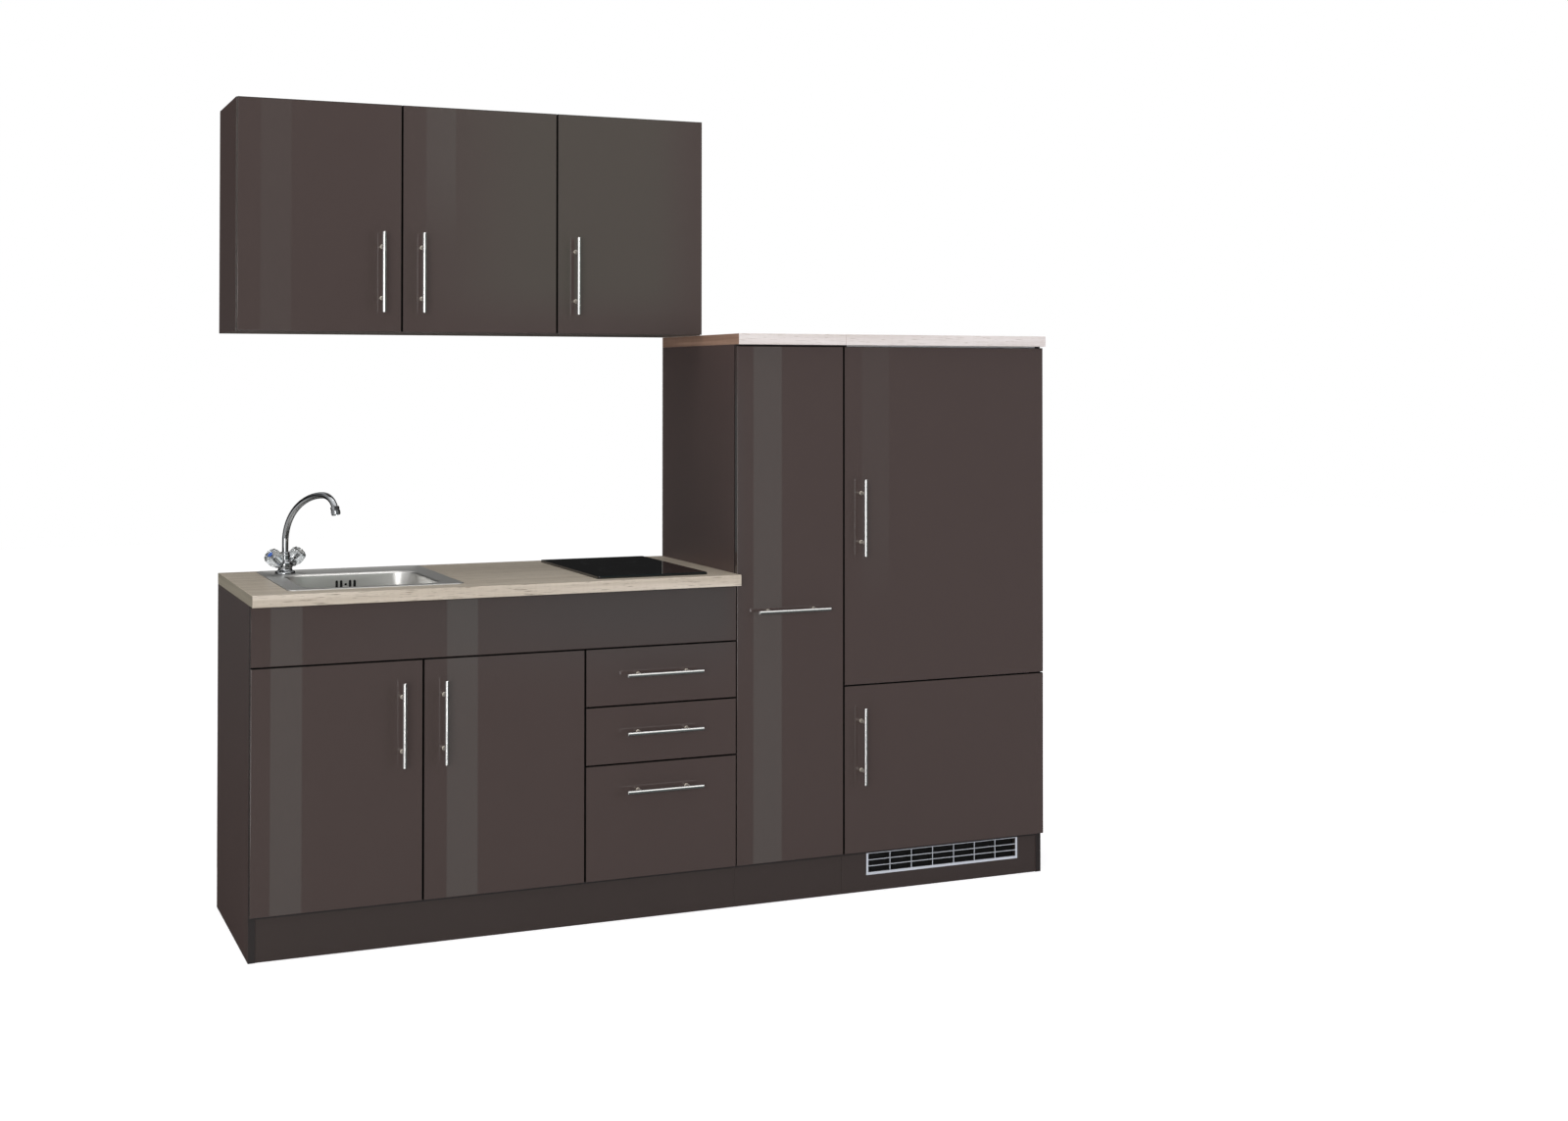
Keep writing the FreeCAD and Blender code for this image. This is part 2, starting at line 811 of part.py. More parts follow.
def make_knobs():
    """Two knobs, each with a blind bore for its spindle."""
    for name, side in (("tap_knob_cold", -1), ("tap_knob_hot", 1)):
        axis = knob_axis(side)
        start = along_knob(side, knob_start)
        collar = Part.makeCone(knob_collar_radius, knob_radius, knob_collar_length, start, axis)
        grip_start = along_knob(side, knob_start + knob_collar_length)
        grip = rod(knob_radius, knob_end - knob_start - knob_collar_length, grip_start, axis)
        bore_length = spindle_end - knob_start + running_gap
        bore = rod(spindle_radius + spindle_clearance, bore_length, start, axis)
        save(name, [placed_tap(fuse([collar, grip]).cut(bore))])


def spout_arcs():
    """The swan neck's path in its upright plane: straight up, then three tangent arcs."""
    place = point(0, 0, spout_riser_top)
    heading = 0.0
    edges = []
    start = point(0, 0, tap_neck_height - spout_plug_depth + running_gap)
    edges.append(Part.makeLine(start, place))
    for radius, bend in (
        (spout_first_radius, spout_first_angle),
        (spout_second_radius, spout_second_angle),
        (spout_third_radius, spout_third_angle),
    ):
        points = []
        for share in (0.0, 1 / 2, 1.0):
            angle = math.radians(heading + bend * share)
            base = math.radians(heading)
            points.append(place + point(
                radius * (math.cos(base) - math.cos(angle)),
                0,
                radius * (math.sin(angle) - math.sin(base)),
            ))
        edges.append(Part.Arc(*points).toShape())
        place = points[-1]
        heading += bend
    return edges, place, math.radians(heading)


def tube(path, radius):
    """A round solid along a path that starts straight up at the first edge's start."""
    start = path.Edges[0].Vertexes[0].Point
    ring = Part.Wire(Part.makeCircle(radius, start, UP))
    return path.makePipeShell([ring], True, True)


def make_spout():
    """The swivelling swan neck with its aerator."""
    edges, end, heading = spout_arcs()
    path = Part.Wire(edges)
    pipe = tube(path, spout_radius)
    along = point(math.sin(heading), 0, math.cos(heading))
    outlet = rod(aerator_radius, aerator_length, end - along * aerator_lap, along)
    whole = pipe.fuse(outlet).removeSplitter()
    tip = end + along * (aerator_length - aerator_lap)
    bore = rod(spout_radius - spout_wall, aerator_length / 2, tip, -along)
    save("tap_spout", [placed_tap(whole.cut(bore))])


# Fascia, plinth and grille

x_grille = (x_fridge + x_end - grille_width) / 2
z_grille_top = plinth_height


def make_fascia_and_plinth():
    """The fascia under the worktop and the two plinth boards, one with the grille's notch."""
    z_low = z_fascia + reveal / 2
    fascia = [front_panel(x_sink, x_pantry, z_low, z_base_top - fascia_drop, 0.0)]
    z_packer = z_low + packer_edge
    for x0, x1 in ((x_sink, x_drawers), (x_drawers, x_pantry)):
        inset = board + packer_edge
        for x in (x0 + inset, x1 - inset - packer_size):
            fascia.append(block(x, x + packer_size, -front_gap, 0.0, z_packer, z_packer + packer_size))
    save("fascia_panel", fascia)
    y0 = plinth_setback
    y1 = plinth_setback + board
    base = block(x_sink + board, x_pantry, y0, y1, 0.0, plinth_height)
    tall = block(x_pantry, x_end - board, y0, y1, 0.0, plinth_height)
    notch = block(
        x_grille + grille_frame - grille_fit, x_grille + grille_width - grille_frame + grille_fit,
        y0 - overrun, y1 + overrun,
        grille_rise + grille_foot - grille_fit, plinth_height + overrun,
    )
    save("plinth_boards", [base, tall.cut(notch)])


def make_grille():
    """A moulded frame with rows and columns of air openings."""
    x1 = x_grille + grille_width
    y_face = plinth_setback - grille_proud
    flange = block(x_grille, x1, y_face, plinth_setback, grille_rise, z_grille_top)
    core = block(
        x_grille + grille_frame, x1 - grille_frame,
        y_face, plinth_setback + grille_depth,
        grille_rise + grille_foot, z_grille_top,
    )
    body = flange.fuse(core).removeSplitter()
    z0 = grille_rise + grille_foot + grille_bar / 2
    row = (z_grille_top - grille_bar / 2 - z0) / grille_rows
    first = x_grille + grille_frame
    column = (grille_width - 2 * grille_frame) / grille_columns
    half = grille_bar / 2
    openings = []
    for i in range(grille_columns):
        for j in range(grille_rows):
            left = first + i * column + half
            low = z0 + j * row
            openings.append(block(
                left, left + column - 2 * half,
                y_face - overrun, plinth_setback + grille_depth + overrun,
                low, low + row - grille_bar / 2,
            ))
    save("vent_grille", [cut(body, openings)])


# Drawers


def make_drawers():
    """Three drawers on roller runners, and the rails that stay in the unit."""
    rails = []
    inner0 = x_drawers + board
    inner1 = x_pantry - board
    box0 = inner0 + runner_space
    box1 = inner1 - runner_space
    line_middle = z_fascia - drawer_pitch
    line_bottom = line_middle - drawer_pitch
    half = reveal / 2
    for name, z0, z1, box_height in (
        ("drawer_top", line_middle + half, z_fascia - half, low_box_height),
        ("drawer_middle", line_bottom + half, line_middle - half, low_box_height),
        ("drawer_bottom", z_front_bottom, line_bottom - half, high_box_height),
    ):
        save(f"{name}_front", [front_panel(x_drawers, x_pantry, z0, z1, 0.0)])
        x_handle = (x_drawers + x_pantry) / 2
        save(f"{name}_handle", bar_handle(x_handle, z1 - drawer_handle_drop, 0.0, RIGHT))
        y0 = -front_gap
        y1 = y0 + drawer_box_depth
        low = z0 + drawer_box_lift
        high = low + box_height
        base_z = low + drawer_base
        slides = [
            block(box0 - slide_bar_width, box0, y0, y1, low, low + slide_bar_height),
            block(box1, box1 + slide_bar_width, y0, y1, low, low + slide_bar_height),
        ]
        save(f"{name}_box", [
            block(box0, box0 + drawer_side, y0, y1, low, high),
            block(box1 - drawer_side, box1, y0, y1, low, high),
            block(box0 + drawer_side, box1 - drawer_side, y0, y1, low, base_z),
            block(box0 + drawer_side, box1 - drawer_side, y1 - drawer_side, y1, base_z, high),
        ] + slides)
        z_flange = low - running_gap - runner_steel
        rail_y = (runner_setback, runner_setback + runner_length)
        for side, x_in in ((1, inner0), (-1, inner1)):
            web = sorted((x_in, x_in + side * runner_steel))
            flange = sorted((x_in, x_in + side * runner_flange))
            rails.append(fuse([
                block(*web, *rail_y, z_flange, z_flange + runner_web),
                block(*flange, *rail_y, z_flange, z_flange + runner_steel),
            ]))
    return rails


# Pantry pull-out


def gallery_tray(y0, y1, z):
    """A tray board with a round rail on posts along its edges."""
    x0 = x_pantry + board + tray_side_space
    x1 = x_fridge - board - tray_side_space
    z_top = z + tray_thickness
    pieces = [block(x0, x1, y0, y1, z, z_top)]
    in_x = (x0 + gallery_post_radius, x1 - gallery_post_radius)
    in_y = (y0 + gallery_post_radius, y1 - gallery_post_radius)
    post_step = (in_y[1] - in_y[0]) / (gallery_posts_per_side - 1)
    posts = [
        rod(gallery_post_radius, gallery_height, point(x, in_y[0] + i * post_step, z_top), UP)
        for x in in_x
        for i in range(gallery_posts_per_side)
    ]
    z_rail = z_top + gallery_height - gallery_post_radius
    rails = [
        rod(gallery_rail_radius, post_step, point(x, in_y[0] + i * post_step, z_rail), BACK)
        for x in in_x
        for i in range(gallery_posts_per_side - 1)
    ]
    rails += [
        rod(gallery_rail_radius, in_x[1] - in_x[0], point(in_x[0], y, z_rail), RIGHT)
        for y in in_y
    ]
    return pieces + posts + [cut(rail, posts) for rail in rails]


def make_pantry():
    """The pull-out: front, handle, frame and baskets, and the rails that stay in the unit."""
    z0 = z_front_bottom
    save("pantry_front", [front_panel(x_pantry, x_fridge, z0, z_tall_front_top, 0.0)])
    x = (x_pantry + x_fridge) / 2
    save("pantry_handle", bar_handle(x, pantry_handle_height, 0.0, RIGHT))
    y0 = -front_gap
    y1 = y0 + pull_out_depth
    rail_half = pull_rail_width / 2
    rail_y = (runner_setback, runner_setback + runner_length)
    z_rail = z_bottom_board + pull_rail_height
    z_top_rail = z_tall_top - board - pull_rail_height
    rails = [
        block(x - rail_half, x + rail_half, *rail_y, z_bottom_board, z_rail),
        block(x - rail_half, x + rail_half, *rail_y, z_top_rail, z_tall_top - board),
    ]
    low = z_rail + running_gap
    high = z_top_rail - running_gap
    half = frame_post_width / 2
    front_post = block(x - half, x + half, y0, y0 + frame_post_depth, low, high)
    rear_post = block(x - half, x + half, y1 - frame_post_depth, y1, low, high)
    mid_y = (y0 + frame_post_depth, y1 - frame_post_depth)
    bottom_bar = block(x - half, x + half, *mid_y, low, low + frame_bar_height)
    top_bar = block(x - half, x + half, *mid_y, high - frame_bar_height, high)
    save("pantry_frame", [front_post, rear_post, bottom_bar, top_bar])
    first = low + frame_bar_height + tray_first_rise
    trays = []
    for step in range(tray_count):
        trays += gallery_tray(*mid_y, first + step * tray_spacing)
    save("pantry_trays", trays)
    return rails


# Built-in fridge-freezer

x_appliance = x_fridge + board + appliance_side_space
x_appliance_end = x_end - board - appliance_side_space
y_inner_door = -front_gap + inner_door_thickness
y_appliance = y_inner_door + gasket_thickness + running_gap
y_appliance_back = y_appliance + appliance_depth
z_appliance_top = z_bottom_board + appliance_height
y_cavity_back = y_appliance_back - appliance_wall
cavity_x0 = x_appliance + appliance_wall
cavity_x1 = x_appliance_end - appliance_wall
fridge_z0 = z_fridge_line + divider_half
fridge_z1 = z_appliance_top - appliance_wall
freezer_z0 = z_bottom_board + appliance_wall
freezer_z1 = z_fridge_line - divider_half
y_machine = y_appliance_back - machine_depth
y_step = y_machine - appliance_wall
z_step = z_bottom_board + machine_height + appliance_wall


def make_appliance():
    """The insulated walls round a chilled space above and a freezer below, and the compressor."""
    inner = (cavity_x0, cavity_x1)
    z_machine = z_bottom_board + machine_height
    walls = [
        block(x_appliance, cavity_x0, y_appliance, y_appliance_back, z_bottom_board, z_appliance_top),
        block(cavity_x1, x_appliance_end, y_appliance, y_appliance_back, z_bottom_board, z_appliance_top),
        block(*inner, y_appliance, y_cavity_back, fridge_z1, z_appliance_top),
        block(*inner, y_appliance, y_cavity_back, freezer_z1, fridge_z0),
        block(*inner, y_cavity_back, y_appliance_back, z_machine, z_appliance_top),
        block(*inner, y_machine, y_cavity_back, z_machine, z_step),
        block(*inner, y_step, y_machine, z_bottom_board, z_step),
        block(*inner, y_appliance, y_step, z_bottom_board, freezer_z0),
    ]
    save("fridge_cabinet", walls)
    x = (x_appliance + x_appliance_end) / 2
    y = (y_machine + y_appliance_back) / 2
    z = z_bottom_board
    can_height = compressor_height - compressor_dome
    can_z = z + compressor_foot_height
    dome = Part.makeCone(
        compressor_radius, compressor_radius / 2, compressor_dome, point(x, y, can_z + can_height), UP
    )
    save("fridge_compressor", [fuse([
        rod(compressor_foot_radius, compressor_foot_height, point(x, y, z), UP),
        rod(compressor_radius, can_height, point(x, y, can_z), UP),
        dome,
    ])])


def tray_walls(x0, x1, y0, y1, z0, z1, notch_width):
    """The base and four walls of an open box, with a grip notch in the front if it has a width."""
    wall = drawer_wall
    front = block(x0, x1, y0, y0 + wall, z0, z1)
    if notch_width:
        middle = (x0 + x1) / 2
        half = notch_width / 2
        front = front.cut(block(
            middle - half, middle + half, y0 - overrun, y0 + wall + overrun,
            z1 - grip_height, z1 + overrun,
        ))
    return [
        front,
        block(x0, x1, y1 - wall, y1, z0, z1),
        block(x0, x0 + wall, y0 + wall, y1 - wall, z0, z1),
        block(x1 - wall, x1, y0 + wall, y1 - wall, z0, z1),
        block(x0 + wall, x1 - wall, y0 + wall, y1 - wall, z0, z0 + wall),
    ]


def door_rack(x0, x1, y0, z0):
    """A bottle rack on the inner door: a tray with a low lip, two ends and a rail."""
    y1 = y0 + rack_depth
    z1 = z0 + rack_height
    return [
        block(x0, x1, y0, y1, z0, z0 + rack_wall),
        block(x0, x0 + rack_wall, y0, y1, z0 + rack_wall, z1),
        block(x1 - rack_wall, x1, y0, y1, z0 + rack_wall, z1),
        block(x0 + rack_wall, x1 - rack_wall, y1 - rack_wall, y1, z0 + rack_wall, z0 + rack_lip),
        block(x0 + rack_wall, x1 - rack_wall, y1 - rack_wall, y1, z1 - rack_rail, z1),
    ]


def make_fridge_inside():
    """Glass shelves and the crisper above, and two drawers in the freezer."""
    y0 = y_appliance + glass_shelf_setback
    x0 = cavity_x0 + glass_shelf_play
    x1 = cavity_x1 - glass_shelf_play
    span = fridge_z1 - fridge_z0
    pieces = []
    lid_z = fridge_z0 + crisper_height
    for z in [lid_z] + [fridge_z0 + span * share for share in glass_shelf_shares]:
        pieces.append(block(x0, x1, y0, y_cavity_back, z, z + glass_shelf))
    no_notch = 0.0
    pieces += tray_walls(x0, x1, y0, y_cavity_back, fridge_z0, fridge_z0 + crisper_height, no_notch)
    x0 = cavity_x0 + drawer_side_play
    x1 = cavity_x1 - drawer_side_play
    y0 = y_appliance + freezer_drawer_gap
    span = freezer_z1 - z_step
    low_top = z_step - freezer_drawer_gap
    pieces += tray_walls(x0, x1, y0, y_step - freezer_drawer_gap, freezer_z0, low_top, grip_width)
    high_top = z_step + span * freezer_drawer_share
    pieces += tray_walls(x0, x1, y0, y_cavity_back, z_step, high_top, grip_width)
    save("fridge_shelves", pieces)


def inner_door(z0, z1):
    """The insulated door behind a front, with its ring gasket."""
    x0 = x_appliance + inner_door_side_gap
    x1 = x_appliance_end - inner_door_side_gap
    slab = block(x0, x1, -front_gap, y_inner_door, z0, z1)
    seal_y = (y_inner_door, y_inner_door + gasket_thickness)
    outer = block(
        x0 + gasket_inset, x1 - gasket_inset, *seal_y, z0 + gasket_inset, z1 - gasket_inset
    )
    ring = gasket_inset + gasket_width
    inner = block(x0 + ring, x1 - ring, *seal_y, z0 + ring, z1 - ring)
    return [slab, outer.cut(inner)]


def make_appliance_doors():
    """Both furniture fronts with their handles and insulated doors."""
    half = reveal / 2
    gap = inner_door_end_gap / 2
    x_handle = x_fridge + handle_inset
    save("fridge_front", [front_panel(x_fridge, x_end, z_fridge_line + half, z_tall_front_top, 0.0)])
    save("fridge_handle", bar_handle(x_handle, z_fridge_line + fridge_handle_rise, 0.0, UP))
    upper = inner_door(z_fridge_line + gap, z_appliance_top)
    x0 = x_appliance + rack_side_space
    x1 = x_appliance_end - rack_side_space
    span = z_appliance_top - z_fridge_line
    for share in rack_shares:
        upper += door_rack(x0, x1, y_inner_door, fridge_z0 + span * share)
    save("fridge_inner_door", upper)
    save("freezer_front", [front_panel(x_fridge, x_end, z_front_bottom, z_fridge_line - half, 0.0)])
    save("freezer_handle", bar_handle(x_handle, z_fridge_line - freezer_handle_drop, 0.0, UP))
    save("freezer_inner_door", inner_door(z_bottom_board + gap, z_fridge_line - gap))
    blocks = []
    for z in (z_appliance_top - hinge_block_height, z_fridge_line - hinge_block_height / 2, z_bottom_board):
        blocks.append(block(
            x_appliance_end, x_end - board, y_inner_door, y_appliance + appliance_wall,
            z, z + hinge_block_height,
        ))
    return blocks


os.makedirs("parts", exist_ok=True)
make_carcasses()
make_shelves_and_fittings()
make_feet()
make_worktop()
make_sink()
make_drain()
make_strainer()
make_hob()
make_tap_body()
make_knobs()
make_spout()
make_fascia_and_plinth()
make_grille()
hinge_arms = make_doors()
runner_rails = make_drawers() + make_pantry()
make_appliance()
make_fridge_inside()
hinge_arms += make_appliance_doors()
save("hinge_arms", hinge_arms)
save("runner_rails", runner_rails)
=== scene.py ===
"""Looks for a straight fitted kitchen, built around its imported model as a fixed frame."""

from __future__ import annotations

import json
import logging
import math
from dataclasses import dataclass, field
from enum import Enum
from typing import Callable, Iterable, Sequence

import bmesh
import bpy
from bmesh.types import BMEdge, BMesh, BMFace, BMVert
from bpy.types import Material, Mesh, Node, NodeSocket, NodeTree, Object
from mathutils import Matrix, Vector

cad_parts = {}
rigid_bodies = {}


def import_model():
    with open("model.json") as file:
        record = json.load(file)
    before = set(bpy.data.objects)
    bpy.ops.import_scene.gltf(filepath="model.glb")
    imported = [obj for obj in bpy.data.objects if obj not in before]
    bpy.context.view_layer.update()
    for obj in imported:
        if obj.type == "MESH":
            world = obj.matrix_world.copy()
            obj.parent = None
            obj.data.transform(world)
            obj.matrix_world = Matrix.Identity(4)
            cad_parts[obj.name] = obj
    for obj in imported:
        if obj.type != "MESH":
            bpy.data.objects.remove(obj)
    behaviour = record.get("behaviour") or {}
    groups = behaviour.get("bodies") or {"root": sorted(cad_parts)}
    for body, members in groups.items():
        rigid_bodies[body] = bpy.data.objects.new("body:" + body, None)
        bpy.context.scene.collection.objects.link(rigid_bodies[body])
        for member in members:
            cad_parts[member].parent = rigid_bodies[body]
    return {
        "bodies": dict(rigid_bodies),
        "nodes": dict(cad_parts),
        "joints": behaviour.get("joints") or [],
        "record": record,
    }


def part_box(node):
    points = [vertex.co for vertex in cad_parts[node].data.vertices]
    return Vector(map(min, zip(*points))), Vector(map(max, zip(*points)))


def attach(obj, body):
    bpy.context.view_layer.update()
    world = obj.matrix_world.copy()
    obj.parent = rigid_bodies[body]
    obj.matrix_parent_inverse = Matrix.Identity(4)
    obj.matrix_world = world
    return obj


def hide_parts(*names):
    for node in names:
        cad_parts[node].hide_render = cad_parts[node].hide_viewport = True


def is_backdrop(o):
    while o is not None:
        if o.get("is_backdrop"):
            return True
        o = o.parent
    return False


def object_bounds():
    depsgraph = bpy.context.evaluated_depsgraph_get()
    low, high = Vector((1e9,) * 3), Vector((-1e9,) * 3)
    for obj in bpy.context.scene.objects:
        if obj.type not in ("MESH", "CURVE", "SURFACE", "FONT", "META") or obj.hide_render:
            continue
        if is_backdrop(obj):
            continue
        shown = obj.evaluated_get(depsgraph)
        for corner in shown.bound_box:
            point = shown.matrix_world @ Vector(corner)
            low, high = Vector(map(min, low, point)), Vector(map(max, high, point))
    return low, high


log = logging.getLogger("kitchen")

MM = 0.001
ROOT = "root"
FULL_TURN = 2 * math.pi
QUARTER = math.pi / 2
WELD = 0.002 * MM
TO_THE_BACK = (-QUARTER, 0, 0)
WHITE = (1.0, 1.0, 1.0, 1.0)
Colour = tuple[float, float, float, float]
Point = Sequence[float]
Outline = Sequence[tuple[float, float]]
Wave = Callable[[float, float], float]


def linear(code: str) -> Colour:
    """Turn an sRGB hex colour to the linear values that shaders take.

    Args:
        code: A colour as "#rrggbb".

    Returns:
        Linear red, green, blue and an alpha of one.
    """
    parts = [int(code[i : i + 2], 16) / 255 for i in (1, 3, 5)]
    red, green, blue = (p / 12.92 if p <= 0.04045 else ((p + 0.055) / 1.055) ** 2.4 for p in parts)
    return (red, green, blue, 1.0)


def feed(made: Node, inputs: dict) -> Node:
    """Give a node's inputs their values and links.

    Args:
        made: The node.
        inputs: For each input, by name or number, a value, an output, a node or a list of nodes.

    Returns:
        The node.
    """
    for key, value in inputs.items():
        for source in value if isinstance(value, list) else [value]:
            if isinstance(source, Node):
                source = next(output for output in source.outputs if output.enabled)
            if isinstance(source, NodeSocket):
                made.id_data.links.new(source, made.inputs[key])
            else:
                made.inputs[key].default_value = source
    return made


def add_node(tree: NodeTree, kind: str, inputs: dict | None = None, **settings: object) -> Node:
    """Add a node with its settings, values and links.

    Args:
        tree: The node tree that gets the node.
        kind: The node's type name.
        inputs: What each input takes, as feed has it.
        **settings: The node's own properties.

    Returns:
        The new node.
    """
    made = tree.nodes.new(kind)
    for name, value in settings.items():
        setattr(made, name, value)
    return feed(made, inputs or {})


SPAN = ("Value", "From Min", "From Max", "To Min", "To Max")
MIX = ("Factor", "A", "B")
ROUND = ("Vertices", "Radius", "Depth")
KINDS: dict[str, tuple[str, Sequence, dict]] = {
    "span": ("ShaderNodeMapRange", SPAN, {}),
    "fade": ("ShaderNodeMapRange", SPAN, {"interpolation_type": "SMOOTHSTEP"}),
    "mix": ("ShaderNodeMix", MIX, {}),
    "tint": ("ShaderNodeMix", MIX, {"data_type": "RGBA"}),
    "place": ("ShaderNodeMix", MIX, {"data_type": "VECTOR"}),
    "sum": ("ShaderNodeMath", (0, 1), {"operation": "ADD", "use_clamp": True}),
    "scale": ("ShaderNodeVectorMath", (0, "Scale"), {"operation": "SCALE"}),
    "xyz": ("ShaderNodeCombineXYZ", ("X", "Y", "Z"), {}),
    "tube": ("GeometryNodeMeshCylinder", ROUND, {"fill_type": "NONE"}),
    "cylinder": ("GeometryNodeMeshCylinder", ROUND, {}),
    "cone": ("GeometryNodeMeshCone", ("Vertices", "Radius Bottom", "Radius Top", "Depth"), {}),
    "circle": ("GeometryNodeMeshCircle", ("Vertices", "Radius"), {}),
    "cube": ("GeometryNodeMeshCube", ("Size",), {}),
    "line": ("GeometryNodeMeshLine", ("Count", "Start Location", "Offset"), {"mode": "OFFSET"}),
    "number": ("GeometryNodeInputIndex", (), {}),
    "move": ("GeometryNodeTransform", ("Geometry", "Translation", "Rotation"), {}),
    "join": ("GeometryNodeJoinGeometry", ("Geometry",), {}),
    "weld": ("GeometryNodeMergeByDistance", ("Geometry", "Distance"), {}),
    "cut": ("GeometryNodeMeshBoolean", ("Mesh 1", "Mesh 2"), {"operation": "DIFFERENCE"}),
    "repeat": ("GeometryNodeInstanceOnPoints", ("Points", "Instance", "Rotation"), {}),
    "real": ("GeometryNodeRealizeInstances", ("Geometry",), {}),
    "dress": ("GeometryNodeSetMaterial", ("Geometry", "Material"), {}),
}


def lay_out(tree: NodeTree, known: dict, rows: Iterable[Sequence]) -> dict:
    """Add nodes from rows, each a name, a kind and the kind's inputs in order.

    Args:
        tree: The node tree that gets the nodes.
        known: The sockets and nodes that rows can name. Each row's node is added to them.
        rows: The rows. A kind is one of KINDS or a mathematical operation. An input is a value, or the
            name of something known, or a list of such names.

    Returns:
        What is known.
    """
    for name, kind, *given in rows:
        node, inputs, settings = KINDS.get(kind, ("ShaderNodeMath", range(3), {"operation": kind}))
        values = ([known[part] for part in v] if isinstance(v, list) else known.get(v, v) for v in given)
        known[name] = add_node(tree, node, dict(zip(inputs, values)), **settings)
    return known


def new_material(name: str) -> tuple[Material, NodeTree]:
    """Make a material with nodes, and return it and its tree.

    Args:
        name: The material's name.

    Returns:
        The material and its tree.
    """
    made = bpy.data.materials.new(name)
    made.use_nodes = True
    return made, made.node_tree


class Along(Enum):
    """Which way a brushing runs."""

    X = 0
    Y = 1
    Z = 2


@dataclass(frozen=True)
class Finish:
    """A plain finish: what the surface is made of and how it was made.

    Attributes:
        name: The material's name.
        colour: The sRGB hex colour.
        roughness: How dull the surface is.
        ior: The refraction index, left at its default on metals.
        metallic: One for bare metal.
        mottle: How far the colour wanders, as a share.
        grain_mm: The size of the surface's fine texture.
        relief_mm: The height of that texture.
        tooth: How far the roughness wanders.
        cloud_mm: The size of the patches in which the colour wanders.
    """

    name: str
    colour: str
    roughness: float
    ior: float = 1.5
    metallic: float = 0.0
    mottle: float = 0.04
    grain_mm: float = 2.0
    relief_mm: float = 0.01
    tooth: float = 0.05
    cloud_mm: float = 120.0

    def material(self) -> Material:
        """Return the finish's material, made on first use.

        Returns:
            The material.
        """
        found = bpy.data.materials.get(self.name)
        if found:
            return found
        made, tree = new_material(self.name)
        shader = tree.nodes["Principled BSDF"]
        feed(shader, {"Metallic": self.metallic} if self.metallic else {"Metallic": 0.0, "IOR": self.ior})
        self.surface(shader, add_node(tree, "ShaderNodeTexCoord").outputs["Object"])
        return made

    def surface(self, shader: Node, place: NodeSocket) -> None:
        """Give the shader its colour, roughness and relief from a fine, even texture."""
        cloud, fine = self.noise(place, self.cloud_mm), self.noise(place, self.grain_mm)
        self.wire(shader, self.toned(cloud), fine, fine)

    def noise(
        self, place: Node | NodeSocket, size_mm: float, stretch: Point = (1, 1, 1), detail: float = 3.0
    ) -> Node:
        """Make a noise whose features have a real size.

        Args:
            place: The place on the object.
            size_mm: The size of a feature.
            stretch: How far the features are drawn out along each axis.
            detail: How many finer layers the noise has.

        Returns:
            The noise.
        """
        scale = tuple(1 / (size_mm * MM * share) for share in stretch)
        spread = add_node(place.id_data, "ShaderNodeMapping", {"Vector": place, "Scale": scale})
        inputs = {"Vector": spread, "Scale": 1.0, "Detail": detail}
        return add_node(place.id_data, "ShaderNodeTexNoise", inputs)

    def toned(self, amount: Node) -> Node:
        """Return a colour that wanders a little either way around the finish's own.

        Args:
            amount: The texture that the colour follows.

        Returns:
            The colour.
        """
        low, high = (
            tuple(min(1.0, part * share) for part in linear(self.colour)[:3]) + (1.0,)
            for share in (1 - self.mottle, 1 + self.mottle)
        )
        inputs = {"Factor": amount, "A": low, "B": high}
        return add_node(amount.id_data, "ShaderNodeMix", inputs, data_type="RGBA")

    def wire(self, shader: Node, colour: Node, rough: Node, high: Node) -> None:
        """Link a shader to its colour, and to the textures that its roughness and height follow.

        Args:
            shader: The material's shader.
            colour: The colour.
            rough: The texture that the roughness follows.
            high: The texture that the height follows.
        """
        span = add_node(shader.id_data, "ShaderNodeMapRange", {
            "Value": rough, "To Min": max(0.0, self.roughness - self.tooth),
            "To Max": self.roughness + self.tooth,
        })
        bump = add_node(shader.id_data, "ShaderNodeBump", {"Height": high, "Distance": self.relief_mm * MM})
        feed(shader, {"Base Color": colour, "Roughness": span, "Normal": bump})


@dataclass(frozen=True)
class Edged(Finish):
    """Coated board whose front edges and underside are painted apart from its faces: by default painted
    shade on the front edges, which show in the gaps between fronts, and painted light on the underside.

    Attributes:
        front: The colour of the faces that look forwards. The dark default is painted shade on the front
            edges seen in the gaps between fronts.
        under: The colour of the faces that look down, paler than the faces: painted light from below.
    """

    front: str = "#272120"
    under: str = "#6f6660"

    def toned(self, amount: Node) -> Node:
        """Choose the colour by the way that a face looks: painted shade on the faces that look forwards,
        painted light on the faces that look down.

        Args:
            amount: The texture that the colour follows.

        Returns:
            The colour.
        """
        tree, face = amount.id_data, super().toned(amount)
        normal = add_node(tree, "ShaderNodeNewGeometry").outputs["Normal"]
        look = add_node(tree, "ShaderNodeSeparateXYZ", {"Vector": normal}).outputs
        return lay_out(tree, {"face": face, "Y": look["Y"], "Z": look["Z"]}, (
            ("forwards", "LESS_THAN", "Y", -1 / 2), ("down", "LESS_THAN", "Z", -1 / 2),
            ("fronted", "tint", "forwards", "face", linear(self.front)),
            ("edged", "tint", "down", "fronted", linear(self.under)),
        ))["edged"]


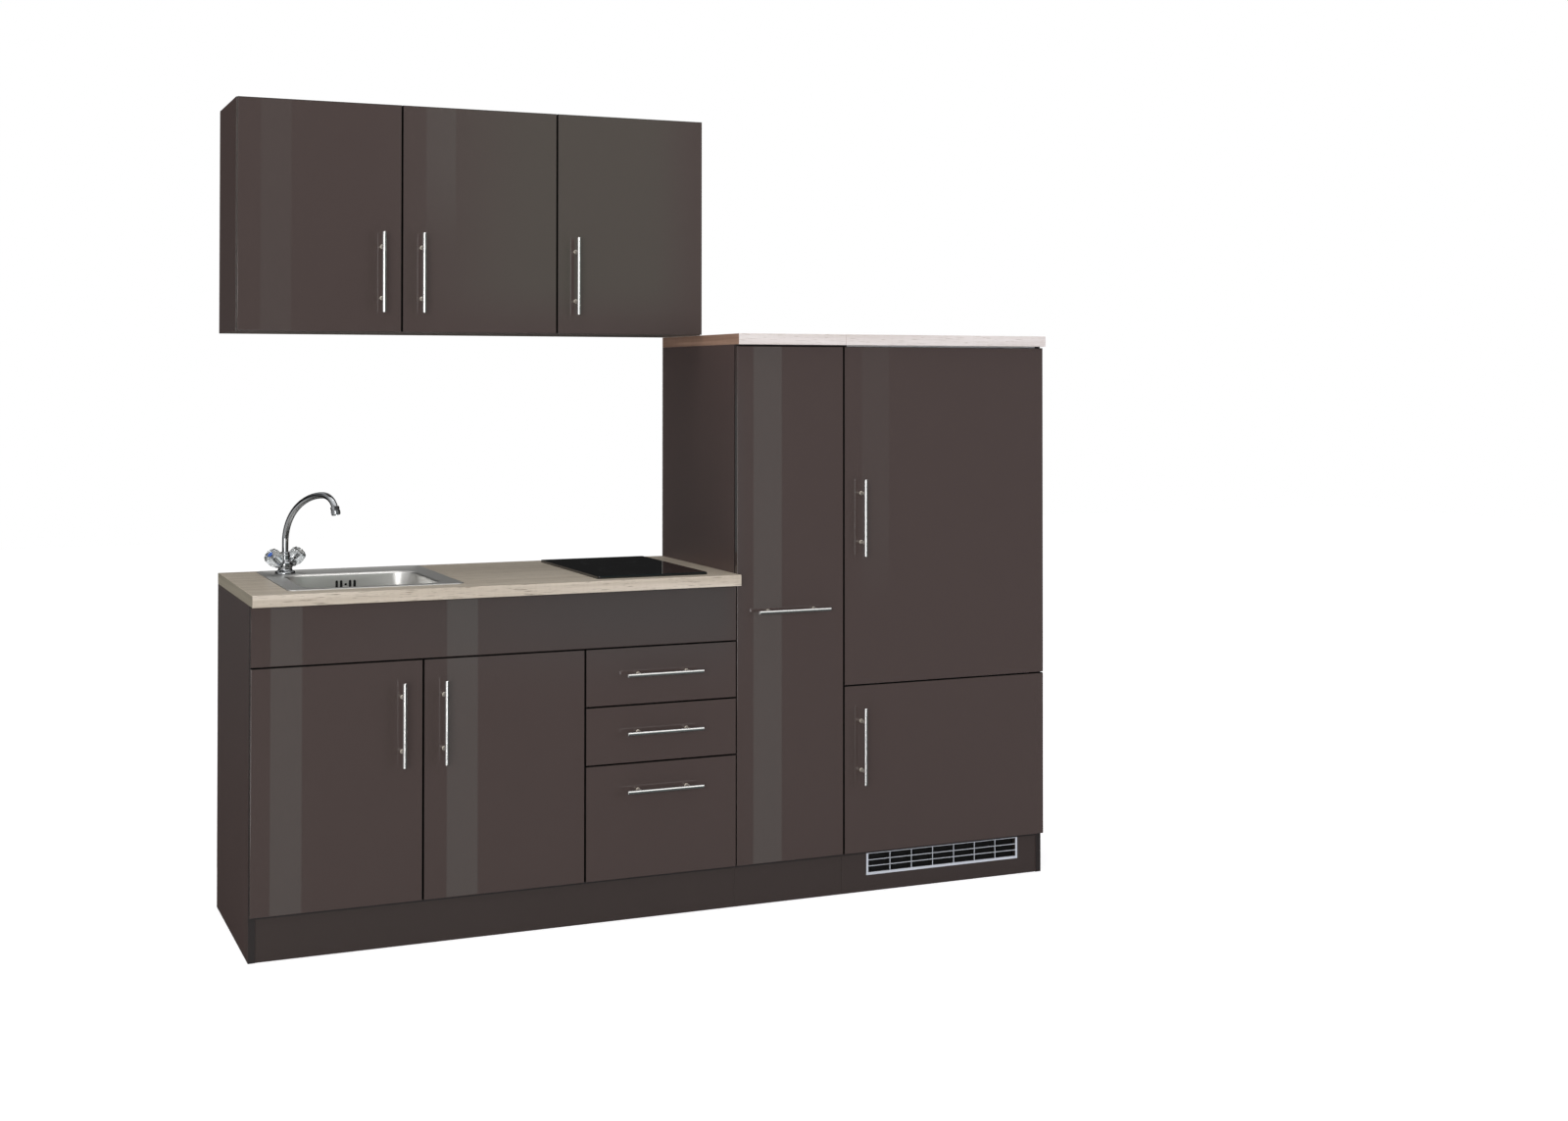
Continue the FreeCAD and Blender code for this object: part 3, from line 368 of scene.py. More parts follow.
@dataclass(frozen=True)
class Brushed(Finish):
    """Metal brushed one way: short bright and dull hairs along the brushing.

    Attributes:
        along: The brushing's direction.
        hair_mm: The length of a hair.
    """

    metallic: float = 1.0
    along: Along = Along.X
    hair_mm: float = 60.0

    def surface(self, shader: Node, place: NodeSocket) -> None:
        """Stretch the fine texture along the brushing.

        Args:
            shader: The material's shader.
            place: The place on the object.
        """
        long = self.hair_mm / self.grain_mm
        stretch = [long if axis == self.along.value else 1 for axis in range(3)]
        hairs = self.noise(place, self.grain_mm, stretch)
        self.wire(shader, self.toned(hairs), hairs, hairs)


@dataclass(frozen=True)
class Clear(Finish):
    """Clear plastic or glass.

    Attributes:
        passes: The share of light that goes through.
    """

    passes: float = 1.0

    def surface(self, shader: Node, place: NodeSocket) -> None:
        """Let light through, and keep the fine texture."""
        super().surface(shader, place)
        feed(shader, {"Transmission Weight": self.passes})


@dataclass(frozen=True)
class SawnOak(Finish):
    """Oak decor paper under resin: long pale and dark grain, open pores and faint saw marks.

    Attributes:
        dark: The colour of the dark grain.
        pore: The colour of the pores.
        end: The colour of the band on the ends that face left and right.
        end_dark: The colour of the dark grain in that band.
        face: The tone of the faces that look up or down, as a share: a painted shade where it is below one.
        grain_long_mm: The length of a streak of grain.
        grain_wide_mm: The width of a streak.
        grain_span: Where in its noise a streak runs from dark to pale.
        pore_mm: The width of a pore, drawn coarse so that it shows.
        pore_long: How many times as long as wide a pore is.
        pore_span: Where in its noise a pore starts and is full.
        saw_mm: The distance between saw marks.
        saw_long: How many times as long as wide a saw mark is.
        saw_depth: How far a saw mark shifts the tone.
    """

    dark: str = "#8d8272"
    pore: str = "#6f6455"
    end: str = "#b3a896"
    end_dark: str = "#9d927f"
    face: float = 1.0
    grain_long_mm: float = 700.0
    grain_wide_mm: float = 16.0
    grain_span: tuple[float, float] = (0.35, 0.65)
    pore_mm: float = 1.6
    pore_long: float = 22.0
    pore_span: tuple[float, float] = (0.60, 0.74)
    saw_mm: float = 7.0
    saw_long: float = 9.0
    saw_depth: float = 0.16

    def surface(self, shader: Node, place: NodeSocket) -> None:
        """Run the grain along each edge, and mix the decor's tones.

        Args:
            shader: The material's shader.
            place: The place on the object.
        """
        tree, at = shader.id_data, {"place": place}
        normal = add_node(tree, "ShaderNodeNewGeometry").outputs["Normal"]
        for name, vector in (("look", normal), ("place", place)):
            parts = add_node(tree, "ShaderNodeSeparateXYZ", {"Vector": vector}).outputs
            at |= {f"{name} {axis}": parts[axis] for axis in "XYZ"}
        lay = lay_out(tree, at, (
            ("sideways", "ABSOLUTE", "look X"), ("end face", "GREATER_THAN", "sideways", 1 / 2),
            ("upwards", "ABSOLUTE", "look Z"), ("top face", "GREATER_THAN", "upwards", 1 / 2),
            ("turned", "xyz", "place Y", "place X", "place Z"),
            ("lay", "place", "end face", "place", "turned"),
        ))["lay"]
        long = self.grain_long_mm / self.grain_wide_mm
        at["broad"] = self.noise(lay, self.grain_wide_mm, (long, 1, 1), 6.0)
        at["pores"] = self.noise(lay, self.pore_mm, (self.pore_long, 1, 1), 2.0)
        at["saw"] = self.noise(lay, self.saw_mm, (1, self.saw_long, self.saw_long), 1.0)
        shaded = lay_out(tree, at, (
            ("streak", "span", "broad", *self.grain_span), ("open", "span", "pores", *self.pore_span),
            ("marks", "span", "saw", 0.0, 1.0, -self.saw_depth, self.saw_depth),
            ("tone", "sum", "streak", "marks"),
            ("wood", "tint", "tone", linear(self.dark), linear(self.colour)),
            ("pored", "tint", "open", "wood", linear(self.pore)),
            ("ends", "tint", "tone", linear(self.end_dark), linear(self.end)),
            # Faces that look up or down are scaled by face, a painted shade
            ("sided", "tint", "end face", "pored", "ends"), ("dim", "scale", "sided", self.face),
            ("shaded", "tint", "top face", "sided", "dim"),
        ))["shaded"]
        self.wire(shader, shaded, at["broad"], at["pores"])


class Finishes:
    """Every finish on the kitchen, from what the real surface is."""

    # Acrylic-lacquered foil on MDF: deep, mirror-like, with the faintest wander in its gloss
    foil = Finish("gloss_anthracite_foil", "#493f3c", 0.012, grain_mm=30.0, relief_mm=0.0, tooth=0.006,
                  mottle=0.015)
    # Melamine pressed against a satin plate: soft sheen and a fine, even tooth
    # Their forward faces are painted dark, as painted shade in the gaps between fronts, and their undersides
    # paler, as painted light from below; the wall units' forward faces keep a greyer tone
    carcass = Edged("matt_anthracite_melamine", "#524340", 0.42, relief_mm=0.02)
    wall_carcass = Edged(
        "matt_anthracite_melamine_grey_edge", "#524340", 0.42, relief_mm=0.02, front="#544e4a"
    )
    # Backing foil without lacquer: as dark as the front, but matt
    foil_back = Finish("panel_backing_foil", "#463d3b", 0.42, relief_mm=0.02)
    # Painted shade: a near-black finish on the edges that look into a gap between fronts, standing for the
    # shade in the gap
    edge_band = Finish("dark_edge_band", "#050402", 0.7, ior=1.25, grain_mm=1.5)
    # Melamine from a smoother plate: a faint sheen near the ground
    plinth = Finish("plinth_melamine", "#3c3330", 0.30, relief_mm=0.02)
    # White melamine: even and matt
    white_board = Finish("white_melamine", "#e4e4e1", 0.40, relief_mm=0.015)
    # Fibreboard sprayed once: an uneven matt, with its fibres drawn coarse so that they show
    hardboard = Finish("painted_hardboard", "#d8d6d0", 0.55, grain_mm=3.0, relief_mm=0.04)
    # Oak decor paper under resin: grain, pores and saw marks, drawn coarse so that they show
    # The worktop's faces that look up or down are dimmed a little, a painted shade
    oak = SawnOak("light_oak_laminate", "#cdc2b2", 0.38, relief_mm=0.03, dark="#b4a896", face=0.99)
    # The tall units' top boards: the same decor painted paler, as painted light, with brown ends that are
    # partly the decor's end and partly painted shade from the wall unit
    pale_oak = SawnOak("pale_oak_laminate", "#e4ddd8", 0.38, relief_mm=0.03, dark="#d3cac3",
                       pore="#b3a89d", end="#b18f7b", end_dark="#866554")
    # Drawn stainless tube, brushed round on a belt: a bright line with dull sides
    handle_steel = Brushed("brushed_stainless_bar", "#c9c8c7", 0.24, grain_mm=0.5, relief_mm=0.0003,
                           tooth=0.03, mottle=0.05, hair_mm=12.0)
    upright_steel = Brushed("brushed_stainless_upright", "#c9c8c7", 0.24, grain_mm=0.5, relief_mm=0.0003,
                            tooth=0.03, mottle=0.05, hair_mm=12.0, along=Along.Z)
    # Turned and blasted steel: a soft spot of light and no line
    post_steel = Finish("satin_stainless_post", "#d9d3ca", 0.55, metallic=1.0, mottle=0.04, grain_mm=1.0)
    # Pressed stainless sheet with a silk finish along its length
    sink_steel = Brushed("silk_stainless_sheet", "#cfcecb", 0.38, grain_mm=1.0, relief_mm=0.004,
                         tooth=0.05, mottle=0.06, hair_mm=45.0)
    # Steel zinc-plated in a drum: grey with cloudy, half-dull patches
    zinc = Finish("zinc_plated_steel", "#a9a9a6", 0.34, metallic=1.0, mottle=0.12, grain_mm=6.0)
    # Steel nickel-plated in a bath: warmer and brighter than zinc
    nickel = Finish("nickel_plated_steel", "#b5b2ac", 0.22, metallic=1.0, grain_mm=4.0)
    # Chrome over polished brass: almost a mirror
    chrome = Finish("polished_chrome", "#909294", 0.05, metallic=1.0, mottle=0.02, grain_mm=8.0,
                    relief_mm=0.001, tooth=0.02)
    # Baked epoxy powder: a fine orange peel softens the shine
    rail_paint = Finish("white_epoxy_powder", "#d3d3d0", 0.35, grain_mm=1.5, relief_mm=0.03)
    frame_paint = Finish("silver_powder_coat", "#a9abad", 0.38, grain_mm=1.5, relief_mm=0.03)
    # Enamel dipped on a pressed can: black, with a slightly wavy shine
    compressor = Finish("black_enamel", "#101112", 0.3, grain_mm=3.0, relief_mm=0.05)
    # Drawn copper, bare and handled: reddish, with brighter and duller stretches
    copper = Finish("copper_tube", "#b06a4a", 0.25, metallic=1.0, mottle=0.15, grain_mm=12.0)
    # Polypropylene from a textured mould: black and matt
    black_plastic = Finish("black_moulded_plastic", "#121212", 0.5, relief_mm=0.03)
    # Extruded soft vinyl: pale, without any shine
    rubber = Finish("grey_gasket_rubber", "#c9cac9", 0.6, relief_mm=0.02)
    # Vacuum-formed ABS: clean white with a soft gloss
    liner = Finish("white_abs_liner", "#e6e8e8", 0.28, grain_mm=3.0, relief_mm=0.01)
    # Hot-dipped galvanised sheet: dull, with patches of its spangle
    outer_skin = Finish("galvanised_skin", "#b5b7b8", 0.4, metallic=1.0, mottle=0.15, grain_mm=14.0)
    # ABS from a satin mould: cool and pale with a dull sheen
    grille = Finish("grey_moulded_plastic", "#c6cbd1", 0.42, relief_mm=0.02)
    # Rolled and polished glass ceramic: black, and nearly a mirror
    hob_glass = Finish("black_glass_ceramic", "#060607", 0.03, ior=1.54, mottle=0.0, grain_mm=12.0,
                       relief_mm=0.0005, tooth=0.01)
    # Enamel fired on the glass: thin, flat grey lines
    hob_print = Finish("glass_ceramic_print", "#5a5c5e", 0.25)
    # Silicone pressed in a joint: black and matt
    seal = Finish("black_silicone_seal", "#0c0c0c", 0.6)
    # Galvanised sheet, folded: dull, with patches of its spangle
    hob_tray = Finish("galvanised_tray", "#9c9e9f", 0.4, metallic=1.0, mottle=0.15, grain_mm=14.0)
    # Acrylic from a polished mould: clear, with crisp highlights
    acrylic = Clear("clear_acrylic", "#c6c9ca", 0.03, ior=1.49, mottle=0.0, grain_mm=10.0,
                    relief_mm=0.0005, tooth=0.02)
    # Toughened float glass: clear, with a faint green cast
    shelf_glass = Clear("toughened_glass", "#e9f3f0", 0.02, ior=1.52, mottle=0.0, tooth=0.01)
    # Polystyrene from a polished mould: clear, and softer than glass
    clear_plastic = Clear("clear_polystyrene", "#eaf2f5", 0.06, ior=1.55, mottle=0.0, passes=0.9)
    # Polystyrene from a blasted mould: milky, so that only outlines show through
    frosted = Clear("frosted_polystyrene", "#eef3f5", 0.42, ior=1.55, mottle=0.0, passes=0.6)
    # ABS from a fine mould: pale grey, half dull
    grey_plastic = Finish("light_grey_plastic", "#b9bdc0", 0.4)
    # Foam mat: black, with open pores that swallow light. The same black stands as painted shade on the
    # grille's vanes and in the sink's overflow box
    filter_mat = Finish("black_filter_mat", "#060606", 0.9, grain_mm=1.2, relief_mm=0.3)
    # Dyed polystyrene pressed in the knob: a clean, half-gloss colour
    cold_blue = Finish("cold_index_blue", "#2c62c4", 0.3)
    hot_red = Finish("hot_index_red", "#b3231d", 0.3)


# Shapes


def piece(
    name: str, shape: Mesh | BMesh, finishes: Finish | Sequence[Finish], body: str, slot: str,
    replaces: Sequence[str] = (), sharp_deg: float = 35.0, even: bool = False,
) -> Object:
    """Make a shape an object of the scene that rides on a body.

    Args:
        name: The piece's name.
        shape: The mesh, with its place in it. A bmesh is freed.
        finishes: The finish, or several in the order of the mesh's material numbers.
        body: The body that the piece moves with.
        slot: The record's material slot. Not used.
        replaces: The CAD nodes that the piece stands for.
        sharp_deg: Edges bent by more than this stay sharp.
        even: Let large faces rule the shading, so that a flat panel mirrors flat up to its rounded edge.

    Returns:
        The new object.
    """
    mesh = to_mesh(name, shape) if isinstance(shape, BMesh) else shape
    finishes = [finishes] if isinstance(finishes, Finish) else finishes
    made = in_scene(name, mesh)
    numbers = [face.material_index for face in mesh.polygons]
    names = [finish.name for finish in finishes]
    if mesh.materials:
        given = [names.index(m.name) if m and m.name in names else 0 for m in mesh.materials]
        numbers = [given[number] for number in numbers]
    mesh.materials.clear()
    for finish in finishes:
        mesh.materials.append(finish.material())
    mesh.polygons.foreach_set("material_index", numbers)
    mesh.shade_smooth()
    mesh.set_sharp_from_angle(angle=math.radians(sharp_deg))
    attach(made, body)
    if replaces:
        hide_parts(*replaces)
    log.info("%s: %d faces on %s", name, len(mesh.polygons), body)
    if even:
        weighted = made.modifiers.new("even", "WEIGHTED_NORMAL")
        weighted.keep_sharp, weighted.weight = True, 100
        apply_modifiers(made)
    return made


def in_scene(name: str, data: bpy.types.ID) -> Object:
    """Put data in the scene as an object, and return it.

    Args:
        name: The object's name.
        data: Its data.

    Returns:
        The object.
    """
    made = bpy.data.objects.new(name, data)
    bpy.context.scene.collection.objects.link(made)
    return made


def evaluated(made: Object, layers: bool = False) -> Mesh:
    """Return what an object's modifiers or bevel make of it as a plain mesh, with all its layers or not.

    Args:
        made: The object.
        layers: Whether all its layers are kept.

    Returns:
        The mesh.
    """
    graph = bpy.context.evaluated_depsgraph_get()
    settings = {"preserve_all_data_layers": layers, "depsgraph": graph}
    return bpy.data.meshes.new_from_object(made.evaluated_get(graph), **settings)


def apply_modifiers(made: Object) -> None:
    """Put what an object's modifiers make in its mesh, and take them off.

    Args:
        made: The object.
    """
    mesh = evaluated(made, layers=True)
    made.modifiers.clear()
    made.data = mesh


def to_mesh(name: str, bm: BMesh) -> Mesh:
    """Turn a bmesh to a mesh and free it.

    Args:
        name: The mesh's name.
        bm: The bmesh.

    Returns:
        The mesh.
    """
    mesh = bpy.data.meshes.new(name)
    bm.to_mesh(mesh)
    bm.free()
    return mesh


def outwards(bm: BMesh) -> BMesh:
    """Turn a shape's faces outwards, and return it."""
    bmesh.ops.recalc_face_normals(bm, faces=bm.faces)
    return bm


def weld(bm: BMesh) -> BMesh:
    """Merge points that lie on each other, and return the shape."""
    bmesh.ops.remove_doubles(bm, verts=bm.verts, dist=WELD)
    return bm


def ease(bm: BMesh, edges: Iterable[BMEdge], radius: float, **settings: object) -> None:
    """Round edges by a radius with two faces across each.

    Args:
        bm: The mesh.
        edges: The edges, in any order.
        radius: The radius.
        **settings: The bevel's other settings.
    """
    bmesh.ops.bevel(
        bm, geom=list(dict.fromkeys(edges)), offset=radius, segments=2, profile=0.5, affect="EDGES",
        **settings,
    )


def round_edges(bm: BMesh, radius: float, shortest: float) -> None:
    """Join triangles that lie in one plane, and round the outer edges that are longer than a length.

    Args:
        bm: The mesh.
        radius: The edge radius.
        shortest: Edges shorter than this are left as they are.
    """
    one_plane, corner = math.radians(1 / 2), math.radians(60)
    bmesh.ops.dissolve_limit(
        bm, angle_limit=one_plane, verts=bm.verts, edges=bm.edges, use_dissolve_boundaries=False
    )
    picked = (
        e for e in bm.edges
        if e.is_manifold and e.is_convex and e.calc_length() > shortest and e.calc_face_angle(0.0) > corner
    )
    ease(bm, picked, radius, clamp_overlap=True)


def on_circle(radius: float, angle: float, z: float = 0.0) -> Vector:
    """Return the point at an angle on a circle about the Z axis."""
    return Vector((radius * math.cos(angle), radius * math.sin(angle), z))


def lathe(outline: Outline, place: Matrix, steps: int = 48, wave: Wave | None = None) -> BMesh:
    """Turn an outline about the local Z axis into a closed shape.

    Args:
        outline: Radius and height of each point in millimetres, from one end of the axis to the other.
            A point with no radius closes the shape there, and so does a last point on the first.
        place: Where the turned shape goes.
        steps: The number of points round.
        wave: A change to the radius, from the angle and the share of the outline.

    Returns:
        The turned shape, with its faces outwards.
    """
    bm, rings = bmesh.new(), []
    last = len(outline) - 1
    for i, (radius, height) in enumerate(outline):
        ring = []
        for s in range(steps if radius else 1):
            angle = FULL_TURN * s / steps
            change = wave(angle, i / last) if wave and radius else 0
            ring.append(bm.verts.new(place @ on_circle(radius * MM + change, angle, height * MM)))
        rings.append(ring)
    for low, high in zip(rings, rings[1:]):
        bridge(bm, low, high)
    outwards(bm)
    return outwards(weld(bm)) if outline[0] == outline[-1] else bm


def bridge(bm: BMesh, low: list[BMVert], high: list[BMVert]) -> None:
    """Join two rings of points, either of which may be a single point.

    Args:
        bm: The mesh that holds the rings.
        low: One ring.
        high: The other ring.
    """
    count = max(len(low), len(high))
    for s in range(count):
        t = (s + 1) % count
        corners = [low[s % len(low)], low[t % len(low)], high[t % len(high)], high[s % len(high)]]
        unique = list(dict.fromkeys(corners))
        if len(unique) > 2:
            bm.faces.new(unique)


def capped(bm: BMesh, low: Sequence[Vector], high: Sequence[Vector]) -> list[BMFace]:
    """Join two rings of points by walls and close both ends.

    Args:
        bm: The mesh that gets the prism.
        low: One end's points.
        high: The other end's points.

    Returns:
        The two end faces.
    """
    rings = [[bm.verts.new(p) for p in ring] for ring in (low, high)]
    bridge(bm, *rings)
    return [bm.faces.new(ring) for ring in rings]


def rounded_ring(sides: Point, inset: float, corner: float, z: float, steps: int = 8) -> list[Vector]:
    """Return points round a rectangle with rounded corners, counted the same way for any size.

    Args:
        sides: The left, right, front and back sides.
        inset: How far the ring is drawn in from them.
        corner: The corner radius.
        z: The height.
        steps: The number of steps round each corner.

    Returns:
        Four corners of steps + 1 points each.
    """
    left, right, front, back = (side + way * inset for side, way in zip(sides, (1, -1, 1, -1)))
    near, far = (left + corner, right - corner), (front + corner, back - corner)
    centres = ((near[1], far[1]), (near[0], far[1]), (near[0], far[0]), (near[1], far[0]))
    return [
        Vector((x + corner * math.cos(angle), y + corner * math.sin(angle), z))
        for quarter, (x, y) in enumerate(centres)
        for angle in (QUARTER * (quarter + s / steps) for s in range(steps + 1))
    ]


def loft(rings: Sequence[Sequence[Vector]], closed: bool) -> BMesh:
    """Skin a stack of rings that have the same number of points.

    Args:
        rings: The rings in order.
        closed: Join the last ring to the first. If not, both ends get a face.

    Returns:
        The skin, with its faces outwards.
    """
    bm = bmesh.new()
    made = [[bm.verts.new(p) for p in ring] for ring in rings]
    for low, high in zip(made, made[1:] + (made[:1] if closed else [])):
        bridge(bm, low, high)
    for ring in () if closed else (made[0], made[-1]):
        bm.faces.new(ring)
    return outwards(bm)


def add_box(bm: BMesh, x: Point, y: Point, z: Point, radius: float = 0.0) -> None:
    """Add a box to a bmesh, with its edges eased.

    Args:
        bm: The mesh that gets the box.
        x: Where it starts and ends from left to right, in either order.
        y: Where it starts and ends from front to back.
        z: Where it starts and ends upwards.
        radius: The edge radius.
    """
    low, high = (Vector(corner) for corner in zip(sorted(x), y, z))
    place = Matrix.Translation((low + high) / 2) @ Matrix.Diagonal((*(high - low), 1.0))
    verts = bmesh.ops.create_cube(bm, size=1.0, matrix=place)["verts"]
    if radius:
        ease(bm, (e for v in verts for e in v.link_edges), radius)


def boxes(*each: Sequence) -> BMesh:
    """Return a bmesh of boxes, each given by what add_box takes.

    Args:
        *each: What add_box takes, for each box.

    Returns:
        The bmesh.
    """
    bm = bmesh.new()
    for box in each:
        add_box(bm, *box)
    return bm


def joined(parts: Iterable[BMesh]) -> BMesh:
    """Put several bmeshes in one, and free them.

    Args:
        parts: The bmeshes.

    Returns:
        The one bmesh.
    """
    whole = bmesh.new()
    for part in parts:
        mesh = to_mesh("part", part)
        whole.from_mesh(mesh)
        bpy.data.meshes.remove(mesh)
    return whole


def facing(axis: Vector, at: Vector) -> Matrix:
    """Return a frame at a point whose local Z runs along an axis."""
    return Matrix.Translation(at) @ axis.to_track_quat("Z", "Y").to_matrix().to_4x4()


# Rules: what repeats is made by node trees with named sizes


@dataclass
class Rule:
    """A geometry node tree with named sizes, for pieces that repeat.

    Attributes:
        name: The tree's name.
        sizes: The named inputs, each with its kind of socket.
        rows: The nodes, as lay_out takes them. The last one is what the tree gives.
    """

    name: str
    sizes: dict[str, str]
    rows: Sequence[Sequence]

    def __post_init__(self) -> None:
        """Make the tree."""
        self.tree = bpy.data.node_groups.new(self.name, "GeometryNodeTree")
        self.tree.interface.new_socket("Made", in_out="OUTPUT", socket_type="NodeSocketGeometry")
        for name, kind in {"Points": "Geometry", **self.sizes}.items():
            self.tree.interface.new_socket(name, in_out="INPUT", socket_type=f"NodeSocket{kind}")
        start = add_node(self.tree, "NodeGroupInput").outputs
        known = lay_out(self.tree, {name: start[name] for name in ("Points", *self.sizes)}, self.rows)
        add_node(self.tree, "NodeGroupOutput", {"Made": known[self.rows[-1][0]]})

    def make(self, finish: Finish, points: Sequence[Vector] = (), **sizes: object) -> Mesh:
        """Run the tree and return its result as a plain mesh.

        Args:
            finish: The finish of what is made.
            points: The points that the tree puts something at.
            **sizes: A value for each named input.

        Returns:
            The result.
        """
        seed = bpy.data.meshes.new(f"{self.name}_points")
        seed.from_pydata([tuple(p) for p in points], [], [])
        holder = in_scene(f"{self.name}_holder", seed)
        modifier = holder.modifiers.new(self.name, "NODES")
        modifier.node_group = self.tree
        for item in self.tree.interface.items_tree:
            if item.in_out != "INPUT" or item.socket_type == "NodeSocketGeometry":
                continue
            value = finish if item.name == "Finish" else sizes[item.name.replace(" ", "_")]
            modifier[item.identifier] = value.material() if isinstance(value, Finish) else value
        holder.update_tag()
        result = evaluated(holder)
        bpy.data.objects.remove(holder)
        return result


def handle_rule() -> Rule:
    """Return the tree for a bar handle: a chamfered bar on two posts, its foot plane at local Y nought.

    Returns:
        The tree.
    """
    sunk, collar, gap = 0.6, 1.25, 0.01 * MM
    right, left, back = (0, QUARTER, 0), (0, -QUARTER, 0), TO_THE_BACK
    lengths = ("Length", "Radius", "Chamfer", "Spacing", "Post radius", "Reach", "Rosette")
    others = {"Turn": "Vector", "Place": "Vector", "Finish": "Material", "Post finish": "Material"}
    laid = (
        ("middle", "bar", 0.0, "out", right), ("right tip", "tip", "half", "out", right),
        ("left tip", "tip", "other half", "out", left),
        ("one post", "post", "one side", "post middle", back),
        ("one collar", "collar", "one side", "collar middle", back),
        ("other post", "post", "other side", "post middle", back),
        ("other collar", "collar", "other side", "collar middle", back),
    )
    return Rule("bar_handle", dict.fromkeys(lengths, "Float") | others, (
        ("both tips", "MULTIPLY", "Chamfer", 2.0), ("body", "SUBTRACT", "Length", "both tips"),
        ("tip radius", "SUBTRACT", "Radius", "Chamfer"), ("out", "MULTIPLY", "Reach", -1.0),
        ("half", "MULTIPLY", "body", 0.5), ("other half", "MULTIPLY", "body", -0.5),
        ("in bar", "MULTIPLY", "Radius", sunk), ("post length", "SUBTRACT", "Reach", "in bar"),
        ("post middle", "MULTIPLY", "post length", -0.5), ("collar middle", "MULTIPLY", "Rosette", -0.5),
        ("collar radius", "MULTIPLY", "Post radius", collar),
        ("one side", "MULTIPLY", "Spacing", -0.5), ("other side", "MULTIPLY", "Spacing", 0.5),
        ("bar", "tube", 32, "Radius", "body"), ("tip", "cone", 32, "Radius", "tip radius", "Chamfer"),
        ("post", "cylinder", 24, "Post radius", "post length"),
        ("collar", "cylinder", 24, "collar radius", "Rosette"),
        *((f"{name} at", "xyz", x, y) for name, _, x, y, _ in laid),
        *((name, "move", shape, f"{name} at", turn) for name, shape, _, _, turn in laid),
        ("post parts", "join", [name for name, *_ in laid[3:]]), ("posts", "weld", "post parts", gap),
        ("real posts", "real", "posts"), ("dressed posts", "dress", "real posts", "Post finish"),
        ("bar parts", "join", [name for name, *_ in laid[:3]]), ("whole bar", "weld", "bar parts", gap),
        ("real bar", "real", "whole bar"), ("dressed bar", "dress", "real bar", "Finish"),
        ("parts", "join", ["dressed posts", "dressed bar"]), ("handle", "weld", "parts", gap),
        ("placed", "move", "handle", "Place", "Turn"),
    ))


def screw_rule() -> Rule:
    """Return the tree for screw heads with a cross recess, one at each point.

    Returns:
        The tree.
    """
    top, slot = 0.72, 0.22
    sizes = {"Radius": "Float", "Height": "Float", "Turn": "Vector", "Finish": "Material"}
    return Rule("screw_heads", sizes, (
        ("top", "MULTIPLY", "Radius", top), ("thin", "MULTIPLY", "Radius", slot),
        ("head", "cone", 20, "Radius", "top", "Height"), ("up", "xyz", 0.0, 0.0, "Height"),
        ("across", "xyz", "Radius", "thin", "Height"), ("along", "xyz", "thin", "Radius", "Height"),
        ("bar across", "cube", "across"), ("bar along", "cube", "along"),
        ("arm across", "move", "bar across", "up"), ("arm along", "move", "bar along", "up"),
        ("recess", "join", ["arm across", "arm along"]), ("screw", "cut", "head", "recess"),
        ("screws", "repeat", "Points", "screw", "Turn"),
        ("real", "real", "screws"), ("dressed", "dress", "real", "Finish"),
    ))


def ribs_rule() -> Rule:
    """Return the tree for round ribs in a ring about an axis.

    Returns:
        The tree.
    """
    lengths = dict.fromkeys(("Ring radius", "Rib radius", "Length"), "Float")
    others = {"Count": "Int", "Turn": "Vector", "Place": "Vector", "Finish": "Material"}
    return Rule("ring_of_ribs", lengths | others, (
        ("ring", "circle", "Count", "Ring radius"), ("rib", "cylinder", 8, "Rib radius", "Length"),
        ("ribs", "repeat", "ring", "rib"), ("placed", "move", "ribs", "Place", "Turn"),
        ("real", "real", "placed"), ("dressed", "dress", "real", "Finish"),
    ))


def bars_rule() -> Rule:
    """Return the tree for a row of equal bars, each a box with a size, from a first place by a step.

    Returns:
        The tree.
    """
    places = dict.fromkeys(("First", "Step", "Size"), "Vector")
    return Rule("row_of_bars", {"Count": "Int", **places, "Finish": "Material"}, (
        ("places", "line", "Count", "First", "Step"), ("bar", "cube", "Size"),
        ("bars", "repeat", "places", "bar"),
        ("real", "real", "bars"), ("dressed", "dress", "real", "Finish"),
    ))


